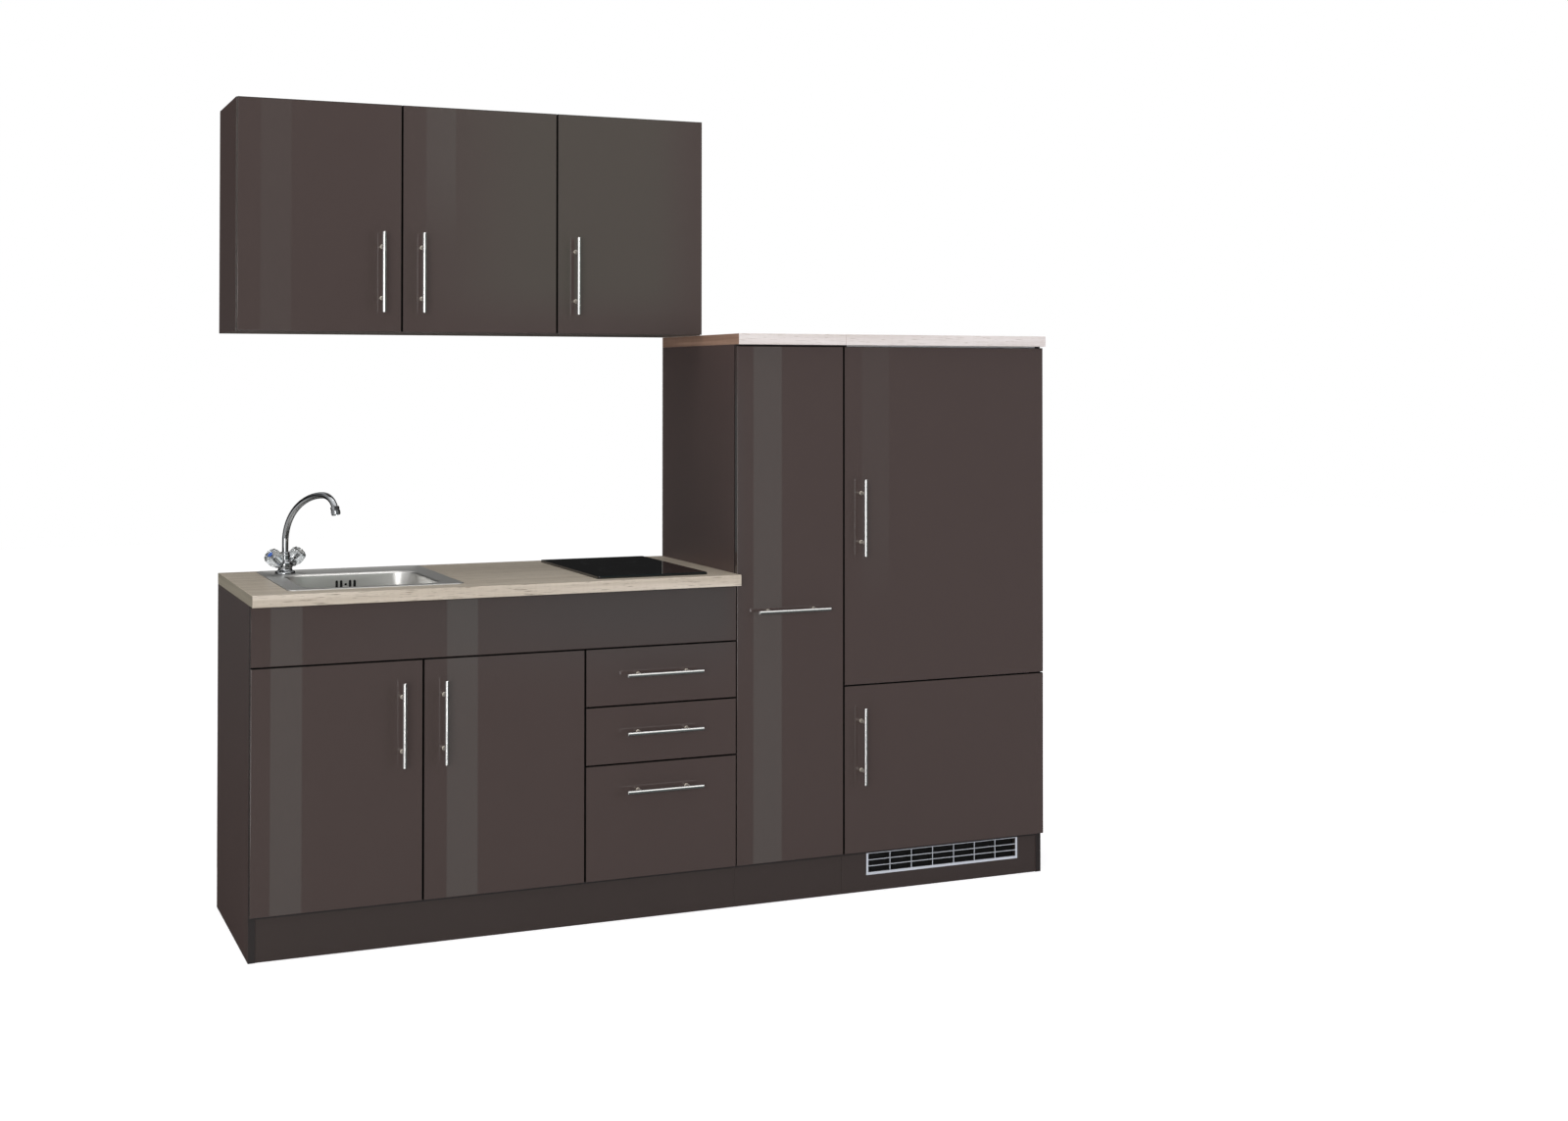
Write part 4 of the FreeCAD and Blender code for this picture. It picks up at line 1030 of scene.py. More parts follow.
def foot_rule() -> Rule:
    """Return the tree for levelling feet: plate, ribbed socket, threaded stem and pad at each point.

    Returns:
        The tree.
    """
    lengths = dict.fromkeys(("Height", "Plate", "Stem", "Pad", "Thickness"), "Float")
    fin_count = 8
    stacked = (
        ("plate", 1.0, "half plate"), ("socket", 0.70, 0.0), ("thread", 0.28, 0.0), ("pad", 0.0, 0.0),
        ("fins", 0.78, 0.0),
    )
    return Rule("levelling_foot", lengths | {"Finish": "Material"}, (
        ("half plate", "MULTIPLY", "Thickness", -0.5), ("socket height", "MULTIPLY", "Height", 0.5),
        ("thread height", "MULTIPLY", "Height", 0.4), ("thread radius", "MULTIPLY", "Stem", 0.82),
        ("pad height", "MULTIPLY", "Height", 0.12), ("pad top", "MULTIPLY", "Stem", 0.9),
        ("fins out", "MULTIPLY", "Stem", 1.15), ("fin long", "MULTIPLY", "Stem", 0.5),
        ("fin thick", "MULTIPLY", "Thickness", 0.5), ("fin tall", "MULTIPLY", "Height", 0.34),
        ("plate", "cylinder", 32, "Plate", "Thickness"), ("socket", "cylinder", 24, "Stem", "socket height"),
        ("thread", "cylinder", 24, "thread radius", "thread height"),
        ("pad", "cone", 32, "Pad", "pad top", "pad height"), ("ring", "circle", fin_count, "fins out"),
        ("fin size", "xyz", "fin long", "fin thick", "fin tall"), ("fin", "cube", "fin size"),
        ("which", "number"), ("angle", "MULTIPLY", "which", FULL_TURN / fin_count),
        ("turned", "xyz", 0.0, 0.0, "angle"), ("fins", "repeat", "ring", "fin", "turned"),
        *((f"{name} level", "MULTIPLY_ADD", "Height", share, less) for name, share, less in stacked),
        *((f"{name} at", "xyz", 0.0, 0.0, f"{name} level") for name, *_ in stacked),
        *((f"{name} up", "move", name, f"{name} at") for name, *_ in stacked),
        ("foot", "join", [f"{name} up" for name, *_ in stacked]), ("feet", "repeat", "Points", "foot"),
        ("real", "real", "feet"), ("dressed", "dress", "real", "Finish"),
    ))


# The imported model


class Model:
    """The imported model: its nodes, and what the record says of them."""

    def __init__(self) -> None:
        """Load the frame."""
        self.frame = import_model()
        self.box_at_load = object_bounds()
        self.boxes: dict[str, tuple] = {}
        record = self.frame["record"]
        self.bodies = {n: b for b, nodes in record["behaviour"]["bodies"].items() for n in nodes}
        self.slots = {s["node"]: s["material_slot"] for s in record["subparts"]}
        self.joints = {j["name"]: j for j in record["behaviour"]["joints"]}

    def box(self, name: str) -> tuple[Vector, Vector]:
        """Return a node's lowest and highest corners.

        Args:
            name: The node.

        Returns:
            The two corners.
        """
        if name not in self.boxes:
            self.boxes[name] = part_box(name)
        low, high = self.boxes[name]
        return Vector(low), Vector(high)

    def middle(self, name: str) -> Vector:
        """Return the middle of a node's box."""
        low, high = self.box(name)
        return (low + high) / 2

    def copy(self, name: str) -> BMesh:
        """Return a copy of a node's loose triangles.

        Args:
            name: The node.

        Returns:
            The copy.
        """
        bm = bmesh.new()
        bm.from_mesh(self.frame["nodes"][name].data)
        return bm

    def dress(self, name: str, finish: Finish) -> None:
        """Give a node that stays as it is its finish.

        Args:
            name: The node.
            finish: Its finish.
        """
        materials = self.frame["nodes"][name].data.materials
        materials.clear()
        materials.append(finish.material())

    def stand_in(
        self, node: str, suffix: str, shape: Mesh | BMesh, finishes: Finish | Sequence[Finish],
        even: bool = False,
    ) -> Object:
        """Put a finer shape in a node's place, on its body, and return it."""
        body, slot = self.bodies[node], self.slots[node]
        return piece(f"{node}_{suffix}", shape, finishes, body, slot, [node], even=even)

    def refine(
        self, node: str, suffix: str, finishes: Finish | Sequence[Finish],
        choose: Callable[[BMFace], int] | None = None, edge: float = 0.0, shortest: float = 0.0,
    ) -> None:
        """Put a merged, smoothly shaded copy of a node in its place.

        Args:
            node: The node.
            suffix: The end of the copy's name.
            finishes: The finishes of the copy.
            choose: Returns the number of the finish for a face.
            edge: The radius of the rounded edges, or nothing for none.
            shortest: The shortest edge that is rounded.
        """
        bm = weld(self.copy(node))
        if edge:
            round_edges(bm, edge, shortest)
        if choose:
            for face in bm.faces:
                face.material_index = choose(face)
        self.stand_in(node, suffix, bm, finishes, bool(edge))


def set_screws(
    rule: Rule, name: str, points: Sequence[Vector], sizes: tuple[float, float], body: str,
    slot: str = "fitting_steel",
) -> None:
    """Set zinc-plated screw heads that face the back.

    Args:
        rule: The screws' tree.
        name: The piece's name.
        points: The middle of each head.
        sizes: A head's radius and height.
        body: The body that the screws move with.
        slot: The record's material slot.
    """
    radius, height = sizes
    heads = rule.make(Finishes.zinc, points, Radius=radius, Height=height, Turn=TO_THE_BACK)
    piece(f"{name}_screws", heads, Finishes.zinc, body, slot)


DOORS = ("wall_left", "wall_middle", "wall_right", "base_left", "base_right")
DRAWERS = ("drawer_top", "drawer_middle", "drawer_bottom")
TALL_FRONTS = ("pantry", "fridge", "freezer")


@dataclass
class Fronts:
    """The glossy fronts: foil on the face and outer edges, painted shade on the edges at a gap, matt board
    on the back.
    """

    model: Model
    edge: float = 1.2 * MM
    shortest: float = 100 * MM
    lean: float = 0.3
    upright: float = 0.9
    end_reach: float = 10 * MM
    right_ends: tuple[str, ...] = ("wall_right_front", "fascia_panel", "fridge_front", "freezer_front")

    def build(self) -> None:
        """Make each front a foil-wrapped panel."""
        for name in DOORS + DRAWERS + TALL_FRONTS:
            self.wrap(f"{name}_front")
        self.wrap("fascia_panel")

    def wrap(self, node: str) -> None:
        """Round a panel's edges, give its back its own finish, and paint the edges at a gap near black as
        painted shade.

        Args:
            node: The panel.
        """
        finishes = (Finishes.foil, Finishes.foil_back, Finishes.edge_band)
        foil, back, band = range(3)
        left_end = self.model.box("base_carcasses")[0].x + self.end_reach
        outermost = self.model.box(node)[0].x < left_end or node == "pantry_front"
        last = node in self.right_ends

        def choose(face: BMFace) -> int:
            """Pick the finish from the way a face looks.

            Args:
                face: A face of the panel.

            Returns:
                The finish's number.
            """
            x, y, z = face.normal
            if y > self.upright:
                return back
            # Edges that look into a gap, and the top edges, get the near-black painted shade
            at_gap = (x < -self.lean and not outermost) or (x > self.lean and not last) or z > self.lean
            return band if at_gap else foil

        self.model.refine(node, "foil", finishes, choose, self.edge, self.shortest)


@dataclass
class Handles:
    """The bar handles and the screws that hold them."""

    model: Model
    screws: Rule
    chamfer: float = 0.8 * MM
    spacing: float = 128 * MM
    post_radius: float = 4.2 * MM
    rosette: float = 1.6 * MM
    screw: tuple[float, float] = (4 * MM, 1.6 * MM)

    def build(self) -> None:
        """Make every handle."""
        rule = handle_rule()
        for name in DOORS + DRAWERS + TALL_FRONTS:
            self.handle(rule, name)

    def handle(self, rule: Rule, name: str) -> None:
        """Make one handle on its front, and its screws where the back of the front is free.

        Args:
            rule: The handles' tree.
            name: The front's name.
        """
        node = f"{name}_handle"
        low, high = self.model.box(node)
        size, middle = high - low, self.model.middle(node)
        upright = size.z > size.x
        radius = min(size.x, size.z) / 2
        steel = Finishes.upright_steel if upright else Finishes.handle_steel
        bar = rule.make(
            steel, Post_finish=Finishes.post_steel, Length=max(size.x, size.z), Radius=radius,
            Chamfer=self.chamfer, Spacing=self.spacing, Post_radius=self.post_radius,
            Reach=size.y - radius, Rosette=self.rosette, Turn=(0, QUARTER if upright else 0, 0),
            Place=(middle.x, high.y, middle.z),
        )
        self.model.stand_in(node, "bar", bar, (steel, Finishes.post_steel))
        if name not in ("fridge", "freezer"):
            reach = Vector((0, 0, self.spacing / 2) if upright else (self.spacing / 2, 0, 0))
            back = self.model.box(f"{name}_front")[1].y + self.screw[1] / 2
            centre = Vector((middle.x, back, middle.z))
            spots = (centre - reach, centre + reach)
            set_screws(self.screws, node, spots, self.screw, self.model.bodies[node])


@dataclass
class Boards:
    """The carcasses, shelves, plinth, backs and worktops."""

    model: Model
    edge: float = 1.0 * MM
    vent_frame: float = 5 * MM
    longest_cut: float = 550 * MM
    top_edge: float = 12 * MM
    facing_front: float = -0.9

    def build(self) -> None:
        """Dress the boards and ease the worktops' long edges."""
        for node, finish in (
            ("base_carcasses", Finishes.carcass), ("cabinet_shelves", Finishes.carcass),
            ("wall_carcasses", Finishes.wall_carcass), ("back_panels", Finishes.hardboard),
        ):
            self.model.dress(node, finish)
        tones = (Finishes.carcass, Finishes.white_board)
        # The fridge housing's top front edge is white as painted light; the rest keeps the carcass finish
        self.model.refine("tall_carcasses", "boards", tones, self.painted_light_or_dark)
        self.plinth()
        self.model.refine("worktop", "laminate", Finishes.oak, None, self.edge, self.longest_cut)
        self.top_boards()

    def painted_light_or_dark(self, face: BMFace) -> int:
        """Choose white for the front edge of the fridge housing's top, as painted light for the lit
        underside of the top board there, and dark for all else.

        Args:
            face: A face of the boards.

        Returns:
            One for white, nought for dark.
        """
        middle = face.calc_center_median()
        top = self.model.box("tall_carcasses")[1].z - self.top_edge
        housing = self.model.box("fridge_front")[0].x
        return int(face.normal.y < self.facing_front and middle.z > top and middle.x > housing)

    def top_boards(self) -> None:
        """Lay the tall units' two top boards, whose seam stands over the gap between their fronts."""
        x, y, z = zip(*self.model.box("tall_top_boards"))
        seam = (self.model.box("pantry_front")[1].x + self.model.box("fridge_front")[0].x) / 2
        bm = boxes(((x[0], seam), y, z, self.edge), ((seam, x[1]), y, z, self.edge))
        # The same oak decor as the worktop, painted paler as painted light
        self.model.stand_in("tall_top_boards", "laminate", bm, Finishes.pale_oak, even=True)

    def plinth(self) -> None:
        """Set a plinth board under the base units, the pull-out and the fridge, notched for the grille."""
        (left, right), (front, back), (foot, top) = zip(*self.model.box("plinth_boards"))
        vent_low, vent_high = self.model.box("vent_grille")
        notch_left, notch_right = vent_low.x + self.vent_frame, vent_high.x - self.vent_frame
        sill = vent_low.z + self.vent_frame
        pantry, fridge = (self.model.box(f"{name}_front")[0].x for name in ("pantry", "fridge"))
        bm = boxes(*((x, (front, back), (foot, top), self.edge) for x in ((left, pantry), (pantry, fridge))))
        outline = (
            (fridge, foot), (right, foot), (right, top), (notch_right, top), (notch_right, sill),
            (notch_left, sill), (notch_left, top), (fridge, top),
        )
        ends = capped(bm, *([Vector((x, y, z)) for x, z in outline] for y in (front, back)))
        outwards(bm)
        ease(bm, [edge for end in ends for edge in end.edges], self.edge)
        self.model.stand_in("plinth_boards", "boards", bm, Finishes.plinth, even=True)


@dataclass
class Hardware:
    """Hinges, runners, fittings and levelling feet."""

    model: Model
    screws: Rule
    flange_reach: float = 24 * MM
    flange_half: float = 30 * MM
    screw: tuple[float, float] = (3.6 * MM, 1.4 * MM)
    units_mm: tuple[tuple[float, float], ...] = ((0, 800), (800, 1200), (1200, 1500), (1500, 2100))
    inset_mm: float = 60.0
    plate: float = 28 * MM
    stem: float = 15 * MM
    pad: float = 25 * MM
    thickness: float = 4 * MM

    def build(self) -> None:
        """Make the hardware."""
        for name in DOORS:
            self.hinges(f"{name}_hinges")
        self.model.refine("hinge_arms", "nickel", Finishes.nickel)
        self.model.dress("runner_rails", Finishes.rail_paint)
        self.model.refine("cabinet_fittings", "zinc", Finishes.zinc)
        self.feet()

    def hinges(self, node: str) -> None:
        """Smooth a door's hinge cups and set the screws in their flanges.

        Args:
            node: The door's hinge cups.
        """
        low, high = self.model.box(node)
        self.model.refine(node, "nickel", Finishes.nickel)
        points = [
            Vector(((low.x + high.x) / 2, high.y + self.screw[1] / 2, z + side * self.flange_reach))
            for z in (low.z + self.flange_half, high.z - self.flange_half)
            for side in (-1, 1)
        ]
        set_screws(self.screws, node, points, self.screw, self.model.bodies[node], self.model.slots[node])

    def feet(self) -> None:
        """Make the sixteen feet under the four floor units."""
        low, high = self.model.box("levelling_feet")
        left = self.model.box("base_carcasses")[0].x
        points = [
            Vector((left + x * MM, y, low.z))
            for start, end in self.units_mm
            for x in (start + self.inset_mm, end - self.inset_mm)
            for y in (low.y + self.plate, high.y - self.plate)
        ]
        feet = foot_rule().make(
            Finishes.black_plastic, points, Height=high.z - low.z, Plate=self.plate, Stem=self.stem,
            Pad=self.pad, Thickness=self.thickness,
        )
        self.model.stand_in("levelling_feet", "ribbed", feet, Finishes.black_plastic)


# Sink, waste, tap and hob


@dataclass
class Sink:
    """The pressed steel sink with its rolled rim, its waste and its overflow."""

    model: Model
    rim_corner: float = 20 * MM
    rim_rise: float = 2 * MM
    rim_outline_mm: Outline = ((0, -2), (0.3, -0.8), (1.2, -0.2), (2.4, 0), (5, 0), (7, -0.8))
    ledge_drop: float = 0.8 * MM
    bowl_side: float = 46 * MM
    bowl_front: float = 34 * MM
    bowl_length: float = 346 * MM
    bowl_corner: float = 55 * MM
    least_corner: float = 4 * MM
    floor_radius: float = 22 * MM
    sheet: float = 1.0 * MM
    edge_radius: float = 6 * MM
    edge_over: float = 5.5 * MM
    fall: float = 2.0 * MM
    draft: float = 3.0 * MM
    waste_radius: float = 38 * MM
    waste_rise: float = 0.2 * MM
    steps: int = 12
    slot_half: float = 3.4 * MM
    slot_reach: float = 11 * MM
    slot_pitch: float = 11.2 * MM
    slot_drop: float = 28 * MM
    slot_aside: float = 6 * MM

    def build(self) -> None:
        """Make the sink, the waste and the overflow box."""
        low, high = self.model.box("sink_bowl")
        self.sides = (low.x, high.x, low.y, high.y)
        self.rim, self.worktop, self.floor = high.z, high.z - self.rim_rise, low.z + self.sheet
        front = low.y + self.bowl_front
        self.bowl = (low.x + self.bowl_side, high.x - self.bowl_side, front, front + self.bowl_length)
        self.drain = self.model.middle("sink_drain")
        bm = loft(self.upper_rings() + self.under_rings(), closed=True)
        self.overflow(self.model.stand_in("sink_bowl", "pressed", bm, Finishes.sink_steel))
        self.waste()

    def ring(self, inset: float, z: float) -> list[Vector]:
        """Return a ring of the bowl's outline, drawn in by an inset."""
        corner = max(self.bowl_corner - inset, self.least_corner)
        return rounded_ring(self.bowl, inset, corner, z, self.steps)

    def rim_ring(self, inset: float, z: float) -> list[Vector]:
        """Return a ring of the rim's outline, drawn in by an inset."""
        return rounded_ring(self.sides, inset, self.rim_corner - inset, z, self.steps)

    def waste_ring(self, z: float) -> list[Vector]:
        """Return a ring round the waste hole, counted as the rounded rings are.

        Args:
            z: The ring's height.

        Returns:
            The ring.
        """
        nearly_round = 0.999
        x, y = self.drain.xy
        radius = self.waste_radius
        return rounded_ring((x, x, y, y), -radius, radius * nearly_round, z, self.steps)

    def halfway(self, ring: list[Vector], z: float) -> list[Vector]:
        """Return a ring halfway between another and the waste hole."""
        return [Vector((*(a.lerp(b, 1 / 2).xy), z)) for a, b in zip(ring, self.waste_ring(z))]

    def upper_rings(self) -> list[list[Vector]]:
        """Return the shown side: rolled rim, ledge, bowl edge, walls, floor and waste hole.

        Returns:
            The rings, from the rim to the waste.
        """
        rings = [self.rim_ring(inset * MM, self.rim + z * MM) for inset, z in self.rim_outline_mm]
        edge, foot = self.edge_radius, self.floor_radius
        ledge = self.rim - self.ledge_drop
        for angle in (QUARTER * step / 4 for step in range(5)):
            inset = -self.edge_over + edge * math.sin(angle) + self.sheet
            rings.append(self.ring(inset, ledge - edge * (1 - math.cos(angle))))
        wall = edge - self.edge_over + self.sheet
        rings.append(self.ring(wall + self.draft / 2, (ledge - edge + self.floor + foot) / 2))
        centre = self.floor + self.fall + foot
        for angle in (QUARTER * step / 6 for step in range(7)):
            inset = wall + self.draft + foot * (1 - math.cos(angle))
            rings.append(self.ring(inset, centre - foot * math.sin(angle)))
        rings.append(self.halfway(rings[-1], self.floor + self.fall / 2))
        return rings + [self.waste_ring(self.floor + self.waste_rise)]

    def under_rings(self) -> list[list[Vector]]:
        """Return the hidden side: the same walls a sheet's thickness away, back to the rim.

        Returns:
            The rings, from the waste to the rim.
        """
        outer, foot = self.floor - self.sheet, self.floor_radius
        lift, share, flare, flange, edge = 0.6 * MM, 0.3, 6 * MM, 14 * MM, (-0.5 * MM, -3.5 * MM)
        walls = (
            (foot, outer + lift), (share * foot, outer + share * foot), (0.0, outer + foot + self.fall),
            (edge[0], self.worktop - flare), (edge[1], self.worktop),
        )
        rings = [self.waste_ring(outer), self.halfway(self.ring(foot, outer), outer + 0.4 * MM)]
        return rings + [self.ring(*wall) for wall in walls] + [self.rim_ring(flange, self.worktop)]

    def overflow(self, sink: Object) -> None:
        """Cut the overflow's four slots and round hole, and set its box behind them, black as painted shade
        inside the slots.

        Args:
            sink: The pressed sink.
        """
        half, back, through = self.slot_half, self.bowl[3], 12 * MM
        middle, z = self.drain.x - self.slot_aside, self.worktop - self.slot_drop
        slot = [(s, first + math.pi * i / 6) for s, first in ((1, 0.0), (-1, math.pi)) for i in range(7)]
        dot = [(0, FULL_TURN * i / 16) for i in range(16)]
        cutters = bmesh.new()
        for step, outline in ((-2, slot), (-1, slot), (1, slot), (2, slot), (0, dot)):
            x = middle + step * self.slot_pitch
            ring = [
                (x + half * math.cos(a), z + (self.slot_reach - half) * s + half * math.sin(a))
                for s, a in outline
            ]
            ends = (back - through, back + through / 2)
            capped(cutters, *([Vector((a, y, b)) for a, b in ring] for y in ends))
        tool = in_scene("overflow_tool", to_mesh("overflow_tool", outwards(cutters)))
        cut = sink.modifiers.new("overflow", "BOOLEAN")
        cut.object, cut.operation, cut.solver = tool, "DIFFERENCE", "EXACT"
        apply_modifiers(sink)
        bpy.data.objects.remove(tool)
        wide, tall, deep, gap, edge = 34 * MM, 15 * MM, 9 * MM, 0.6 * MM, 2 * MM
        bm = boxes(((middle - wide, middle + wide), (back + gap, back + deep), (z - tall, z + tall), edge))
        # The box is black: painted shade seen through the slots
        piece("sink_overflow_box", bm, Finishes.filter_mat, ROOT, "foot_plastic")

    def waste(self) -> None:
        """Turn the waste's dished flange and body, and smooth its strainer basket."""
        outline = (
            (34, -2), (34.4, -0.6), (36, -0.1), (40, 0), (43, -0.3), (44, -0.9), (44, -1.5), (36, -1.5),
            (36, -40), (33, -49), (20, -51.5), (20, -62), (21, -63), (20, -64), (20, -111.5), (18, -111.5),
            (18, -50), (34, -48), (34, -2),
        )
        top = self.model.box("sink_drain")[1].z
        bm = lathe(outline, Matrix.Translation((*self.drain.xy, top)), 64)
        self.model.stand_in("sink_drain", "turned", bm, Finishes.nickel)
        self.model.refine("sink_strainer", "basket", Finishes.nickel)


@dataclass
class Tap:
    """The two-handle tap: turned body, ribbed collars, clear knobs and swan neck."""

    model: Model
    neck_height: float = 48 * MM
    arm_cross: float = 12 * MM
    collar_mm: float = 25.6
    collar_ribs: tuple[int, float, float, float] = (24, 14.6 * MM, 0.9 * MM, 3.6 * MM)
    knurl_mm: float = 10.4
    knurl_ribs: tuple[int, float, float, float] = (30, 11 * MM, 0.55 * MM, 8 * MM)
    tail_spread: float = 9.0 * MM
    lobes: int = 12
    lobe_depth: float = 0.9 * MM
    lobed_part: tuple[float, float] = (0.30, 0.80)
    index_height: tuple[float, float] = (62.7 * MM, 63.5 * MM)
    index_radii: tuple[float, float] = (8.4 * MM, 5.0 * MM)
    index_points: int = 6
    riser_mm: tuple[float, ...] = (34.4, 60, 78)
    tube_radius: float = 8 * MM
    tube_steps: int = 32
    tip_reach_mm: float = 6.0
    arcs: tuple[tuple[float, float], ...] = ((118.0, 52.0), (145.0, 38.0), (42.0, 75.0))

    def build(self) -> None:
        """Make the tap."""
        self.foot = Vector(self.model.joints["spout_swivel"]["pos_m"]) - Vector((0, 0, self.neck_height))
        away = self.model.middle("sink_drain") - self.foot
        self.angle = math.atan2(away.y, away.x)
        self.axes = {
            side: Vector(self.model.joints[f"knob_{side}_turn"]["axis"]).normalized()
            for side in ("cold", "hot")
        }
        self.cross = self.foot + Vector((0, 0, self.arm_cross))
        self.rule = ribs_rule()
        self.body()
        self.tails()
        self.knobs()
        self.spout()

    def ribs(
        self, name: str, axis: Vector, at: Vector, ribs: tuple[int, float, float, float], body: str
    ) -> None:
        """Set fine ribs in a ring round an axis.

        Args:
            name: The piece's name.
            axis: The ring's axis.
            at: The ring's middle.
            ribs: Their count, the ring's radius, and a rib's radius and length.
            body: The body that they move with.
        """
        count, ring, radius, length = ribs
        turn = tuple(axis.to_track_quat("Z", "Y").to_euler())
        made = self.rule.make(
            Finishes.chrome, Count=count, Ring_radius=ring, Rib_radius=radius, Length=length, Turn=turn,
            Place=tuple(at),
        )
        piece(name, made, Finishes.chrome, body, "tap_chrome")

    def body(self) -> None:
        """Turn the body, its two valve arms and the nut below, and rib the arms' collars."""
        shank = ((0, 1), (16, 1), (16, -42), (0, -42))
        outline = (
            (0, -0.01), (25, -0.01), (25, 2.5), (24, 4.4), (21.5, 5.8), (19, 7.2), (17.6, 9.5), (17.4, 12),
            (18.4, 15.5), (19, 20), (18.8, 25), (17.6, 28.6), (15.4, 31), (13.4, 33), (12.6, 36), (12.5, 43),
            (12.1, 46.4), (11, 47.9), (0, 47.9),
        )
        arm = (
            (0, 0), (10.6, 0), (10.8, 14), (11.4, 19), (12.6, 22), (14.4, 24.5), (15.0, 26.6), (14.6, 27.8),
            (4, 27.9), (4, 49.6), (0, 49.6),
        )
        nut = ((16.2, -10), (26, -10), (26, -2.2), (16.2, -2.2), (16.2, -10))
        upright = Matrix.Translation(self.foot)
        parts = [lathe(outline, upright, 64), lathe(shank, upright, 32)]
        parts += [lathe(arm, facing(axis, self.cross)) for axis in self.axes.values()]
        parts.append(lathe(nut, upright, 6))
        self.model.stand_in("tap_body", "turned", joined(parts), Finishes.chrome)
        for side, axis in self.axes.items():
            at = self.cross + axis * self.collar_mm * MM
            self.ribs(f"tap_collar_{side}", axis, at, self.collar_ribs, ROOT)

    def tails(self) -> None:
        """Run the two copper tails down from the shank."""
        outline = ((0, -41), (5, -41), (5, -341.5), (4.4, -342), (0, -342))
        for side, name in ((-1, "cold"), (1, "hot")):
            offset = Vector((-math.sin(self.angle), math.cos(self.angle), 0)) * (side * self.tail_spread)
            bm = lathe(outline, Matrix.Translation(self.foot + offset), 20)
            piece(f"tap_tail_{name}", bm, Finishes.copper, ROOT, "tap_chrome")

    def knobs(self) -> None:
        """Mould the two lobed knobs with their coloured index in the end."""
        outline = (
            (0, 50.4), (4.1, 50.4), (4.1, 28.4), (13.4, 28.4), (14.6, 30.0), (17.6, 33.4), (19.6, 36.6),
            (20.1, 41), (20.1, 56), (19.4, 60), (17.4, 62.8), (14.6, 64), (9.6, 63.9), (9.2, 62.6),
            (0, 62.6),
        )
        first, last = self.lobed_part
        for side, axis in self.axes.items():
            node, place = f"tap_knob_{side}", facing(axis, self.cross)
            bm = lathe(outline, place, 96, ribbed(self.lobes, self.lobe_depth, first, last))
            self.model.stand_in(node, "lobed", bm, Finishes.acrylic)
            self.index(node, place, Finishes.cold_blue if side == "cold" else Finishes.hot_red)

    def index(self, node: str, place: Matrix, finish: Finish) -> None:
        """Set a small coloured star in a knob's end.

        Args:
            node: The knob.
            place: The frame that the knob is turned in.
            finish: The star's finish.
        """
        count = 2 * self.index_points
        bm = bmesh.new()
        capped(bm, *(
            [place @ on_circle(self.index_radii[i % 2], FULL_TURN * i / count, z) for i in range(count)]
            for z in self.index_height
        ))
        piece(f"{node}_index", outwards(bm), finish, self.model.bodies[node], "knob_acrylic")

    def spout(self) -> None:
        """Bend the swan neck along its three arcs, with its ring at the foot and aerator at the tip."""
        turn = Matrix.Translation(self.foot) @ Matrix.Rotation(self.angle, 4, "Z")
        path = [(Vector((0, 0, z * MM)), 0.0) for z in self.riser_mm]
        for radius_mm, bend_deg in self.arcs:
            radius, bend = radius_mm * MM, math.radians(bend_deg)
            start, first = path[-1]
            steps = max(6, round(bend_deg / 5))
            for heading in (first + bend * i / steps for i in range(1, steps + 1)):
                x, z = math.cos(first) - math.cos(heading), math.sin(heading) - math.sin(first)
                path.append((start + Vector((radius * x, 0, radius * z)), heading))
        end, aim = path[-1]
        along = Vector((math.sin(aim), 0, math.cos(aim)))
        path.append((end + along * self.tip_reach_mm * MM, aim))
        tube = loft([self.tube_ring(turn, at, heading) for at, heading in path], closed=False)
        aerator = (
            (8.2, -4), (10.2, -4), (11, -3), (11, 3.2), (10.2, 4), (10.2, 5.4), (11, 6), (11, 15),
            (10.2, 17), (8.6, 17), (8.4, 15.5), (6.6, 15.2), (6.2, 11), (0, 11),
        )
        ring = ((11.9, 48.2), (11.9, 52), (11, 53.4), (8.4, 54.4), (8.0, 54.4), (8.0, 48.2), (11.9, 48.2))
        parts = [tube, lathe(aerator, turn @ facing(along, end)), lathe(ring, Matrix.Translation(self.foot))]
        self.model.stand_in("tap_spout", "bent", joined(parts), Finishes.chrome)
        axis = (turn.to_3x3() @ along).normalized()
        at = turn @ (end + along * self.knurl_mm * MM)
        self.ribs("tap_aerator_knurl", axis, at, self.knurl_ribs, "spout")

    def tube_ring(self, turn: Matrix, at: Vector, heading: float) -> list[Vector]:
        """Return a ring round the neck's path, square to it.

        Args:
            turn: The neck's frame.
            at: The ring's middle.
            heading: The path's angle from upright.

        Returns:
            The ring.
        """
        side, across = Vector((math.cos(heading), 0, -math.sin(heading))), Vector((0, 1, 0))
        angles = (FULL_TURN * i / self.tube_steps for i in range(self.tube_steps))
        return [turn @ (at + (side * math.cos(a) + across * math.sin(a)) * self.tube_radius) for a in angles]


def ribbed(count: int, depth: float, first: float, last: float) -> Wave:
    """Return a wave that presses ribs into a turned outline, from its first to its last share."""
    return lambda angle, share: depth * math.cos(count * angle) if first < share < last else 0.0


